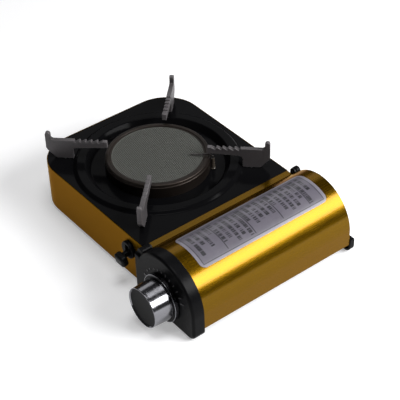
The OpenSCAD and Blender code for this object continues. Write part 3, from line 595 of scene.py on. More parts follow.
@dataclass(frozen=True)
class Finish:
    """One surface finish and the pattern that breaks it up."""

    name: str
    low: Colour
    high: Colour
    rough: Point2
    pattern: Pattern
    grain: float
    relief: float
    metallic: float = 0.0
    coat: float = 0.0
    coat_rough: float = 0.1
    specular: float = 0.5
    along: Point3 = (1, 1, 1)
    edge: Colour = (1, 1, 1)
    cloud_scale: float = 14.0
    line_contrast: Point2 = (0.25, 0.75)
    spot_range: Point2 = (0.5, 1.0)
    worn_edge: Point2 = (0.50, 0.56)

    def material(self) -> bpy.types.Material:
        """Builds the finish.

        Returns:
            The material, made once and then shared.
        """
        if self.name in bpy.data.materials:
            return bpy.data.materials[self.name]
        graph = Graph(self.name)
        graph.set(Metallic=self.metallic, Coat_Weight=self.coat, Coat_Roughness=self.coat_rough,
                  Specular_IOR_Level=self.specular, Specular_Tint=self.edge)
        strength, octaves, fine_octaves = self.pattern.value
        cloud = graph.noise(self.cloud_scale, CLOUD_OCTAVES)
        grit = graph.noise(self.grain, octaves, self.along)
        if self.pattern is Pattern.BRUSHED:
            shade, gloss = graph.spread(grit, *self.line_contrast), grit
        elif self.pattern is Pattern.SPECKLED:
            shade, gloss = graph.spread(grit, 0, 1), cloud
        elif self.pattern is Pattern.WORN:
            sharp = graph.node("NewGeometry").outputs["Pointiness"]
            worn = graph.spread(sharp, 0, 1, self.worn_edge)
            shade = graph.math("MULTIPLY", worn, graph.spread(grit, *self.spot_range))
            gloss = cloud
        else:
            shade, gloss = graph.spread(cloud, 0, 1), graph.noise(self.grain, fine_octaves)
        graph.set(Base_Color=graph.blend(shade, self.low, self.high),
                  Roughness=graph.spread(gloss, *self.rough))
        graph.bump(grit, strength, self.relief)
        return graph.material


ALONG_BARREL: Point3 = (1, 0.02, 1)
ALONG_BOX: Point3 = (0.02, 0.02, 1)
ALONG_STEEL: Point3 = (1, 0.05, 1)
GOLD_EDGE: Colour = (0.8, 0.52, 0.05)
# Painted shade: this gold's base colour, on the barrel cover and the partition wall, is darkened well below the
# metal's own to stand in for the dim surroundings that it reflects, and is also about 0.82 times the side sheet's
# copy of the same gold.
GOLD_DEEPER_PAINTED_SHADE = Finish("anodised gold", (0.122, 0.063, 0.0012), (0.146, 0.077, 0.002), (0.22, 0.29),
              Pattern.BRUSHED, 2600, 0.006 * MM, metallic=0.9, coat=0.14, coat_rough=0.12,
              along=ALONG_BARREL, edge=GOLD_EDGE)
# Painted shade: the side sheet's gold is also darkened well below the metal's own colour, standing in for the dim
# surroundings that it reflects.
GOLD_SIDE_PAINTED_SHADE = Finish("anodised gold side", (0.150, 0.080, 0.0015), (0.178, 0.096, 0.0025),
                   (0.28, 0.36), Pattern.BRUSHED, 2600, 0.006 * MM, metallic=0.9,
                   along=ALONG_BOX, edge=GOLD_EDGE)
ENAMEL = Finish("black enamel", (0.0022, 0.0022, 0.0026), (0.0038, 0.0038, 0.0042),
                (0.10, 0.17), Pattern.CLOUDY, 900, 0.012 * MM, specular=0.02)
BASE_PAINT = Finish("black base paint", (0.012, 0.012, 0.013), (0.02, 0.02, 0.021), (0.4, 0.5),
                    Pattern.SPECKLED, 1500, 0.02 * MM)
BLACK_GLOSS = Finish("glossy black plastic", (0.0022, 0.0022, 0.0026), (0.004, 0.004, 0.0045),
                     (0.26, 0.36), Pattern.CLOUDY, 1200, 0.006 * MM, specular=0.05)
BLACK_SATIN = Finish("satin black plastic", (0.003, 0.003, 0.0034), (0.005, 0.005, 0.0056),
                     (0.38, 0.48), Pattern.SPECKLED, 2200, 0.02 * MM, specular=0.15)
MARK_GREY = Finish("raised grey marks", (0.03, 0.03, 0.032), (0.045, 0.045, 0.047), (0.35, 0.45),
                   Pattern.SPECKLED, 2200, 0.01 * MM)
FACE_BLACK = Finish("knob face", (0.004, 0.004, 0.0045), (0.007, 0.007, 0.0075), (0.3, 0.4),
                    Pattern.SPECKLED, 2600, 0.01 * MM, specular=0.05)
# Painted shade: the chrome's base colour is darkened far below bright chrome's own, standing in for the dark
# surroundings that the knob reflects.
CHROME_PAINTED_SHADE = Finish("bright chrome", (0.17, 0.17, 0.185), (0.23, 0.23, 0.245), (0.13, 0.2),
                Pattern.CLOUDY, 300, 0.004 * MM, metallic=1.0)
PLAIN_STEEL = Finish("plain steel", (0.40, 0.40, 0.41), (0.52, 0.52, 0.53), (0.28, 0.42),
                     Pattern.BRUSHED, 1500, 0.01 * MM, metallic=1.0, along=ALONG_STEEL)
TINTED_STEEL = Finish("heat tinted steel", (0.012, 0.009, 0.007), (0.036, 0.027, 0.022),
                      (0.34, 0.5), Pattern.CLOUDY, 700, 0.02 * MM, metallic=0.75)
SUPPORT_PAINT = Finish("grey heat paint", (0.040, 0.036, 0.038), (0.14, 0.13, 0.135),
                       (0.42, 0.55), Pattern.WORN, 1800, 0.03 * MM, metallic=0.25)
FIBRE = Finish("ceramic fibre", (0.45, 0.43, 0.40), (0.62, 0.60, 0.56), (0.85, 0.95),
               Pattern.SPECKLED, 1800, 0.08 * MM)
CERAMIC = Finish("burner ceramic", (0.074, 0.076, 0.067), (0.118, 0.121, 0.110), (0.78, 0.92),
                 Pattern.SPECKLED, 1400, 0.03 * MM)
BRASS = Finish("turned brass", (0.62, 0.42, 0.15), (0.74, 0.54, 0.22), (0.22, 0.34),
               Pattern.BRUSHED, 1800, 0.008 * MM, metallic=1.0)
COPPER = Finish("copper pipe", (0.55, 0.28, 0.17), (0.68, 0.38, 0.24), (0.28, 0.42),
                Pattern.CLOUDY, 300, 0.01 * MM, metallic=1.0)
CASTING = Finish("die casting", (0.30, 0.30, 0.31), (0.40, 0.40, 0.41), (0.48, 0.6),
                 Pattern.SPECKLED, 1600, 0.04 * MM, metallic=0.9)
RUBBER = Finish("black rubber", (0.010, 0.010, 0.010), (0.018, 0.018, 0.018), (0.75, 0.9),
                Pattern.SPECKLED, 1500, 0.03 * MM)
IVORY = Finish("ivory plastic", (0.60, 0.56, 0.47), (0.68, 0.64, 0.55), (0.35, 0.45),
               Pattern.SPECKLED, 1200, 0.01 * MM)
SILICONE = Finish("silicone lead", (0.55, 0.53, 0.50), (0.62, 0.60, 0.57), (0.5, 0.6),
                  Pattern.SPECKLED, 1500, 0.01 * MM)
GLAZE = Finish("brown glaze", (0.035, 0.028, 0.022), (0.06, 0.05, 0.04), (0.2, 0.3),
               Pattern.CLOUDY, 500, 0.01 * MM)
WIRE = Finish("oxidised wire", (0.05, 0.045, 0.045), (0.12, 0.11, 0.11), (0.4, 0.55),
              Pattern.CLOUDY, 900, 0.01 * MM, metallic=0.9)
MAGNET = Finish("magnet plate", (0.10, 0.10, 0.11), (0.14, 0.14, 0.15), (0.3, 0.4),
                Pattern.SPECKLED, 1500, 0.01 * MM, metallic=0.9)

CAD_FINISHES: dict[Finish, tuple[str, ...]] = {
    BASE_PAINT: ("base_pan",),
    GOLD_DEEPER_PAINTED_SHADE: ("partition_wall",),
    PLAIN_STEEL: (
        "heat_shield", "burner_cup", "mixing_tube", "diaphragm_cap", "inlet_flange",
        "canister_cradle", "case_screws", "lever_bracket", "lever_pin", "rod_guides",
        "valve_spindle", "pusher_rod", "canister_pusher"),
    FIBRE: ("burner_gasket",),
    BRASS: ("gas_jet",),
    COPPER: ("gas_pipe",),
    CASTING: ("regulator_body",),
    RUBBER: ("inlet_seal", "rubber_feet"),
    IVORY: ("piezo_igniter",),
    SILICONE: ("igniter_lead",),
    MARK_GREY: ("dial_marks",),
    MAGNET: ("canister_magnet",),
    BLACK_SATIN: ("hinge_pins", "cover_brackets", "knob_core"),
}


def paint(piece: bpy.types.Object, material: bpy.types.Material) -> None:
    """Gives a piece one material.

    Args:
        piece: the mesh object.
        material: the material, in place of any other.
    """
    piece.data.materials.clear()
    piece.data.materials.append(material)


def body_of(node: str) -> str:
    """Finds the body that a node of the frame rides on.

    Args:
        node: the node's name.

    Returns:
        The body's name.
    """
    bodies = frame["record"]["behaviour"]["bodies"]
    return next(body for body, nodes in bodies.items() if node in nodes)


def fit(piece: bpy.types.Object, material: bpy.types.Material, node: str) -> None:
    """Dresses a finished piece and puts it in the place of a node.

    Args:
        piece: the finished mesh.
        material: its material.
        node: the node that it stands for.
    """
    paint(piece, material)
    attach(piece, body_of(node))
    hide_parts(node)
    LOG.info("%s: %d faces on %s", piece.name, len(piece.data.polygons), body_of(node))


def pivot_of(joint: str) -> Vector:
    """Finds where a joint of the frame turns.

    Args:
        joint: the joint's name.

    Returns:
        A point on its axis.
    """
    return Vector(next(row["pos_m"] for row in frame["joints"] if row["name"] == joint))


@dataclass
class Layout:
    """The main places, read from the frame."""

    burner: Vector = field(default_factory=Vector)
    barrel: Vector = field(default_factory=Vector)
    hinge: Vector = field(default_factory=Vector)

    def __post_init__(self) -> None:
        """Reads the frame's boxes and the hinge of the cover."""
        low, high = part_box("ceramic_plate")
        self.burner = (low + high) / 2
        self.burner.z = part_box("side_shell")[1].z
        low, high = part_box("knob_ring")
        self.barrel = (low + high) / 2
        self.barrel.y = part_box("front_cap")[0].y
        self.hinge = pivot_of("cover_hinge")

    def on_barrel(self, y: float) -> Vector:
        """Finds a place on the barrel's axis.

        Args:
            y: its place along Y.

        Returns:
            The place.
        """
        return Vector((self.barrel.x, y, self.barrel.z))

    def on_hinge(self, y: float) -> Vector:
        """Finds a place on the axis of the cover's hinge.

        Args:
            y: its place along Y.

        Returns:
            The place.
        """
        return Vector((self.hinge.x, y, self.hinge.z))

    def over_burner(self, height: float = 0.0) -> Vector:
        """Finds a place on the burner's axis.

        Args:
            height: its height above the ground.

        Returns:
            The place.
        """
        return Vector((self.burner.x, self.burner.y, height))


LAYOUT = Layout()


def flat_distance(spot: Vector) -> float:
    """Measures how far a place is from the burner's axis.

    Args:
        spot: the place.

    Returns:
        The distance along the ground.
    """
    return (Vector((spot.x, spot.y, 0)) - LAYOUT.over_burner()).length


def plane(name: str, centre: Sequence[float], width: float, depth: float) -> bpy.types.Object:
    """Adds a flat rectangle.

    Args:
        name: the piece's name.
        centre: its middle.
        width: its size along X.
        depth: its size along Y.

    Returns:
        The new piece, with one face.
    """
    deselect()
    bpy.ops.mesh.primitive_plane_add(size=1, location=centre)
    piece = bpy.context.object
    piece.name = name
    piece.scale = (width, depth, 1)
    settle(piece)
    return piece


@dataclass
class BurnerBox:
    """The gold side sheet and the enamelled top plate."""

    corner: float = 43 * MM
    corner_steps: int = 20
    sheet: float = 0.8 * MM
    plate_gap: float = 0.15 * MM
    edge_round: float = 0.3 * MM
    ring_edge: float = 92.8 * MM
    ring_height: float = 2.9 * MM
    rise: Point2 = (91.84 * MM, 2.64 * MM)
    crown: Point2 = (86.56 * MM, 1.92 * MM)
    crown_inner: Point2 = (78.88 * MM, 1.92 * MM)
    foot: Point2 = (71.44 * MM, 2.16 * MM)
    dish: float = 5 * MM
    hole: float = 53.5 * MM
    mouth: float = 55.9 * MM

    def outline(self, name: str, inset: float, right: float, height: float) -> bpy.types.Object:
        """Makes the box's flat outline with two round left corners.

        Args:
            name: the piece's name.
            inset: how far the outline lies inside the box.
            right: the outline's right edge.
            height: its height.

        Returns:
            One flat face.
        """
        low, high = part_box("side_shell")
        left, front, back = low.x + inset, low.y + inset, high.y - inset
        middle = ((left + right) / 2, (front + back) / 2, height)
        piece = plane(name, middle, right - left, back - front)
        edit(piece)
        pick(piece, Part.VERT, lambda v: v.co.x < middle[0])
        bpy.ops.mesh.bevel(offset=self.corner - inset, segments=self.corner_steps,
                           affect="VERTICES")
        done()
        return piece

    def thicken(self, piece: bpy.types.Object, offset: float, angle: float) -> None:
        """Gives a sheet its thickness and round edges.

        Args:
            piece: the sheet, with one face thickness.
            offset: the side that the thickness grows to, -1 or 1.
            angle: the least angle of an edge to round, in degrees.
        """
        apply_modifier(piece, "SOLIDIFY", thickness=self.sheet, offset=offset,
                       use_even_offset=True)
        round_edges(piece, self.edge_round, angle=angle)

    def side_shell(self) -> None:
        """Bends the side sheet round the box, open towards the canister bay."""
        low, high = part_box("side_shell")
        middle = (low.y + high.y) / 2

        def at_right(vertex: bmesh.types.BMVert) -> bool:
            """Tells whether a vertex is on the sheet's open side.

            Args:
                vertex: the vertex.

            Returns:
                True if it is.
            """
            return vertex.co.x > high.x - self.sheet

        piece = self.outline("side_sheet", 0, high.x, high.z)
        edit(piece)
        pick(piece, Part.EDGE, lambda e: all(at_right(v) for v in e.verts))
        bpy.ops.mesh.subdivide(number_cuts=1)
        pick(piece, Part.VERT, lambda v: at_right(v) and abs(v.co.y - middle) < self.sheet)
        bpy.ops.mesh.delete(type="VERT")
        bpy.ops.mesh.select_all(action="SELECT")
        drop_faces()
        bpy.ops.mesh.select_mode(type="EDGE")
        bpy.ops.mesh.select_all(action="SELECT")
        down = {"value": (0, 0, low.z - high.z)}
        bpy.ops.mesh.extrude_edges_move(TRANSFORM_OT_translate=down)
        outward()
        done()
        face = piece.data.polygons[0]
        away = Vector((*(face.center - LAYOUT.burner).xy, 0))
        self.thicken(piece, -1.0 if face.normal.dot(away) > 0 else 1.0, angle=50)
        smooth(piece, angle=30)
        fit(piece, GOLD_SIDE_PAINTED_SHADE.material(), "side_shell")

    def ring_profile(self) -> list[Point2]:
        """Draws the raised ring and the dish from the side.

        Returns:
            Points of radius and height above the plate, inwards.
        """
        rise, rise_r = self.rise
        crown, crown_r = self.crown
        inner, inner_r = self.crown_inner
        foot, foot_r = self.foot
        return [
            (self.ring_edge, 0.0),
            *arc((rise, rise_r), rise_r, -90, -140, 4),
            *arc((crown, self.ring_height - crown_r), crown_r, 50, 90, 3),
            *arc((inner, self.ring_height - inner_r), inner_r, 90, 140, 4),
            *arc((foot, foot_r - self.dish), foot_r, -40, -90, 4),
            (self.hole, -self.dish),
        ]

    def top_plate(self) -> None:
        """Presses the top plate: flat rim, raised ring and dish."""
        ring = turned("enamel_ring", self.ring_profile(), LAYOUT.burner, closed=False)
        edit(ring)
        pick(ring, Part.FACE, lambda f: len(f.verts) > 4)
        drop_faces()
        done()
        plate = self.outline("enamel_top", self.sheet + self.plate_gap,
                             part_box("side_shell")[1].x, LAYOUT.burner.z)
        edit(plate)
        drop_faces()
        done()
        join(plate, ring)
        edit(plate)
        pick(plate, Part.EDGE, lambda e: len(e.link_faces) < 2 and all(
            flat_distance(v.co) > self.mouth for v in e.verts))
        bpy.ops.mesh.fill(use_beauty=True)
        outward()
        done()
        up = sum(face.normal.z * face.area for face in plate.data.polygons)
        self.thicken(plate, -1.0 if up > 0 else 1.0, angle=60)
        smooth(plate, angle=35)
        fit(plate, ENAMEL.material(), "top_plate")

    def build(self) -> None:
        """Builds the box's own pieces."""
        self.side_shell()
        self.top_plate()


@dataclass
class Burner:
    """The honeycomb ceramic, its trim ring and the electrode."""

    radius: float = 51 * MM
    rise: float = 9.6 * MM
    skin: float = 0.05 * MM
    cell: float = 1.2 * MM
    wall: float = 0.24 * MM
    hole_depth: float = 1.6 * MM
    floor: float = 0.8 * MM
    rim: float = 0.9 * MM
    rim_round: float = 0.3 * MM
    lip: float = 49.4 * MM
    lip_gap: float = 0.3 * MM
    lip_sheet: float = 0.25 * MM
    lip_rise: Point2 = (1.5 * MM, 0.1 * MM)
    lip_bend: Point2 = (2.6 * MM, 0.88 * MM)
    bead: float = 1.6 * MM
    bead_in: float = 2.56 * MM
    neck: Point2 = (0.75 * MM, 2.6 * MM)
    step: Point2 = (0.9 * MM, 3.9 * MM)
    ring_wall: float = 0.8 * MM
    underside: tuple[Point2, ...] = (
        (0.8 * MM, 4.4 * MM), (1.7 * MM, 3.2 * MM), (2.4 * MM, 1.76 * MM), (3.4 * MM, 0.8 * MM))
    lip_fold: Point2 = (3.0 * MM, 2.4 * MM)
    glaze: float = 2.2 * MM
    collar: tuple[Point2, ...] = (
        (1.0, 0.9 * MM), (1.3, 1.0 * MM), (1.3, 1.6 * MM), (1.05, 2.1 * MM))
    glaze_tip: Point2 = (0.75, 0.4)
    glaze_round: float = 0.3 * MM
    wire: float = 0.68 * MM
    wire_bends: tuple[Point2, ...] = (
        (0.0, 2.25 * MM), (1.8 * MM, 0.75 * MM), (14.7 * MM, 0.75 * MM), (24.1 * MM, 1.05 * MM))

    def honeycomb(self, top: float) -> bpy.types.Object:
        """Lays hexagons side by side over the burner's square.

        Args:
            top: the height that they lie at.

        Returns:
            The hexagons, welded to each other.
        """
        across = self.cell * sqrt(3)
        row = 1.5 * self.cell
        columns = int(2 * self.radius / across) + 2
        rows = int(2 * self.radius / row) + 2
        tile = ring_of("ceramic_face", self.cell, 6, "NGON")
        steps = {"use_relative_offset": False, "use_constant_offset": True}
        apply_modifier(tile, "ARRAY", count=columns, constant_offset_displace=(across, 0, 0),
                       **steps)
        twin = tile.copy()
        twin.data = tile.data.copy()
        bpy.context.scene.collection.objects.link(twin)
        twin.location = (across / 2, row, 0)
        settle(twin)
        join(tile, twin)
        apply_modifier(tile, "ARRAY", count=rows // 2 + 1,
                       constant_offset_displace=(0, 2 * row, 0), **steps)
        tile.location = LAYOUT.over_burner(top) - Vector((columns * across, rows * row, 0)) / 2
        settle(tile)
        edit(tile)
        bpy.ops.mesh.remove_doubles(threshold=self.cell / 20)
        done()
        return tile

    def ceramic(self) -> None:
        """Makes the ceramic plate: a plain body under a honeycomb of flame holes."""
        low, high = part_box("ceramic_plate")
        axis = LAYOUT.over_burner()
        base = high.z - self.hole_depth - self.floor
        body_r = self.radius - self.skin
        body = turned("ceramic_body", [(body_r, low.z), (body_r, base + self.floor / 2)], axis,
                      closed=False)
        tile = self.honeycomb(high.z)
        inner = self.radius - self.rim
        edit(tile)
        pick(tile, Part.FACE, lambda f: flat_distance(f.calc_center_median()) > inner)
        bpy.ops.mesh.delete(type="FACE")
        bpy.ops.mesh.select_all(action="SELECT")
        bpy.ops.mesh.inset(thickness=self.wall, use_individual=True)
        extrude((0, 0, -self.hole_depth))
        pick(tile, Part.EDGE, lambda e: len(e.link_faces) == 1)
        extrude((0, 0, -self.hole_depth - self.floor))
        bpy.ops.mesh.edge_face_add()
        outward()
        done()
        top = high.z - self.skin
        rim = turned("ceramic_rim", [
            (inner - self.cell, base), (self.radius, base), (self.radius, high.z - self.rim_round),
            (self.radius - self.rim_round, top), (inner - self.cell, top)], axis)
        smooth(rim, angle=30)
        join(tile, rim, body)
        fit(tile, CERAMIC.material(), "ceramic_plate")

    def ring_profile(self) -> list[Point2]:
        """Draws the trim ring from the side: a lip, a bead and a step.

        Returns:
            Points of radius and height, over the top and back underneath.
        """
        low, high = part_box("burner_ring")
        outer, top = (high.x - low.x) / 2, high.z
        lip, wall, bead = self.lip, self.ring_wall, self.bead
        face = self.rise + LAYOUT.burner.z + self.lip_gap
        under = face - self.lip_sheet
        bend, bend_r = self.lip_bend
        step_r, step = self.step
        return [
            (lip, face), (lip + self.lip_rise[0], face + self.lip_rise[1]),
            *arc((lip + bend, top - bend_r), bend_r, 170, 90, 4),
            *arc((outer - self.bead_in, top - bead), bead, 90, 20, 5),
            (outer - self.neck[0], top - self.neck[1]),
            *arc((outer - step_r, top - step), step_r, 70, 0, 3),
            (outer, low.z), (outer - wall, low.z),
            *((outer - inwards, top - down) for inwards, down in self.underside),
            (lip + self.lip_fold[0], top - wall), (lip + self.lip_fold[1], under), (lip, under),
        ]

    def ring(self) -> None:
        """Presses the trim ring in two rounded steps."""
        piece = turned("trim_ring", self.ring_profile(), LAYOUT.over_burner())
        smooth(piece, angle=28)
        fit(piece, TINTED_STEEL.material(), "burner_ring")

    def insulator(self, low: Vector, high: Vector) -> list[Point2]:
        """Draws the electrode's glazed insulator from the side, with its collar.

        Args:
            low: the lowest corner of its box.
            high: its highest corner.

        Returns:
            Points of radius and height, upwards.
        """
        r, edge = self.glaze, self.glaze_round
        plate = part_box("top_plate")[0].z
        neck, tip = self.glaze_tip
        return [(r * share, height) for share, height in (
            (0.8, low.z), (1.0, low.z + edge),
            *((wide, plate + up) for wide, up in self.collar),
            (0.9, high.z - r), (neck, high.z - edge), (tip, high.z))]

    def electrode(self) -> None:
        """Makes the glazed insulator and its bent wire."""
        low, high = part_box("spark_electrode")
        middle = (low + high) / 2
        middle.z = 0
        piece = turned("electrode_insulator", self.insulator(low, high), middle, steps=COARSE,
                       closed=False)
        smooth(piece)
        fit(piece, GLAZE.material(), "spark_electrode")
        low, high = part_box("electrode_wire")
        heading = (LAYOUT.over_burner() - middle).normalized()
        route = [(0.0, low.z), *((out, high.z - drop) for out, drop in self.wire_bends)]
        wire = bar("electrode_tip", self.wire, [
            middle + heading * out + Vector((0, 0, height)) for out, height in route])
        fit(wire, WIRE.material(), "electrode_wire")

    def build(self) -> None:
        """Builds the burner's pieces."""
        self.ceramic()
        self.ring()
        self.electrode()


@dataclass
class PanSupports:
    """Four saw-topped arms that swivel on domed rivets."""

    count: int = 4
    first_bearing: float = 45.0
    inner: float = 53.5 * MM
    outer: float = 121 * MM
    pivot: float = 101 * MM
    top: float = 23.7 * MM
    arm: float = 9.6 * MM
    thick: float = 5.0 * MM
    foot: float = 19 * MM
    foot_bend: float = 4 * MM
    end_rise: float = 1.92 * MM
    back_drop: Point2 = (0.96 * MM, 3.36 * MM)
    back_in: float = 1.2 * MM
    finger: float = 9 * MM
    finger_thick: float = 5.6 * MM
    finger_bend: float = 3 * MM
    nose: Point2 = (0.4 * MM, 1.2 * MM)
    pitch: float = 6.4 * MM
    notch: float = 2.2 * MM
    notches: int = 5
    first_notch: float = 1.2
    notch_line: tuple[Point2, ...] = ((-1.1, 0.0), (0.5, 1.0), (1.1, 1.0), (1.15, 0.0))
    clear: float = 0.3 * MM
    edge_round: float = 0.55 * MM
    bore: float = 1.56 * MM
    bore_span: Point2 = (-1 * MM, 10.2 * MM)
    dome: tuple[Point2, Point2] = ((1.0 * MM, 0.0), (2.4 * MM, 0.3 * MM))
    head: float = 2.6 * MM
    shank: float = 1.5 * MM
    shank_tip: Point2 = (1.1 * MM, 0.5 * MM)
    plate: float = 0.8 * MM
    collar: Point2 = (0.2 * MM, 0.28 * MM)

    def outline(self) -> list[Point2]:
        """Draws an arm from the side.

        Returns:
            Points of distance from the burner's centre and height above the plate.
        """
        under = self.top - self.arm
        points = [(self.inner, under + self.end_rise),
                  (self.inner + self.nose[0], self.top - self.nose[0]),
                  (self.inner + self.nose[1], self.top)]
        for k in range(self.notches):
            x = self.inner + (k + self.first_notch) * self.pitch
            points += [(x + along * self.notch, self.top - down * self.notch)
                       for along, down in self.notch_line]
        tip = self.finger_thick / 2
        start = self.outer - self.finger_thick - self.finger_bend
        toe, heel = self.pivot + self.foot / 2, self.pivot - self.foot / 2
        points += arc((start, self.top + self.finger_bend), self.finger_bend, -90, -20, 4)
        points += arc((self.outer - tip, self.top + self.finger - tip), tip, 180, 0, 8)
        points += [(self.outer, under - self.back_drop[0]),
                   (self.outer - self.back_in, under - self.back_drop[1]),
                   (toe, self.clear), (heel, self.clear)]
        points += arc((heel - self.foot_bend, under - self.foot_bend), self.foot_bend, 0, 90, 5)
        return points

    def arm_piece(self, index: int) -> None:
        """Makes one arm and turns it to its corner.

        Args:
            index: the arm's place, counted anticlockwise from the back right.
        """
        piece = slab(f"support_arm_{index + 1}", self.outline(), -self.thick / 2, self.thick)
        drill(piece, self.bore, self.bore_span, Vector((self.pivot, 0, 0)), Axis.UP)
        round_edges(piece, self.edge_round, segments=3, angle=30)
        smooth(piece, angle=45)
        spin(piece, self.bearing(index), "Z", LAYOUT.burner)
        fit(piece, SUPPORT_PAINT.material(), f"pan_support_{index + 1}")

    def bearing(self, index: int) -> float:
        """Finds the direction that an arm points in.

        Args:
            index: the arm's place.

        Returns:
            Its bearing from the burner, in degrees anticlockwise from the right.
        """
        return self.first_bearing + 360 / self.count * index

    def rivets(self) -> None:
        """Turns the rivets, with a domed head under the plate and a collar above it."""
        low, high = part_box("support_rivets")
        base = LAYOUT.burner.z
        head, shank = self.head, self.shank
        profile = [
            *((radius, low.z + up) for radius, up in self.dome), (head, base - self.plate),
            (shank, base - self.plate), (shank, base), (head, base),
            (head, base + self.collar[0]), (shank, base + self.collar[1]),
            (shank, high.z - self.shank_tip[1]), (self.shank_tip[0], high.z)]
        made = []
        for k in range(self.count):
            turn = radians(self.bearing(k))
            spot = LAYOUT.over_burner() + Vector((cos(turn), sin(turn), 0)) * self.pivot
            made.append(turned(f"rivet_{k + 1}", profile, spot, steps=COARSE, closed=False))
        piece = join(*made)
        piece.name = "arm_rivets"
        smooth(piece)
        fit(piece, PLAIN_STEEL.material(), "support_rivets")

    def build(self) -> None:
        """Builds the arms and their rivets."""
        for index in range(self.count):
            self.arm_piece(index)
        self.rivets()


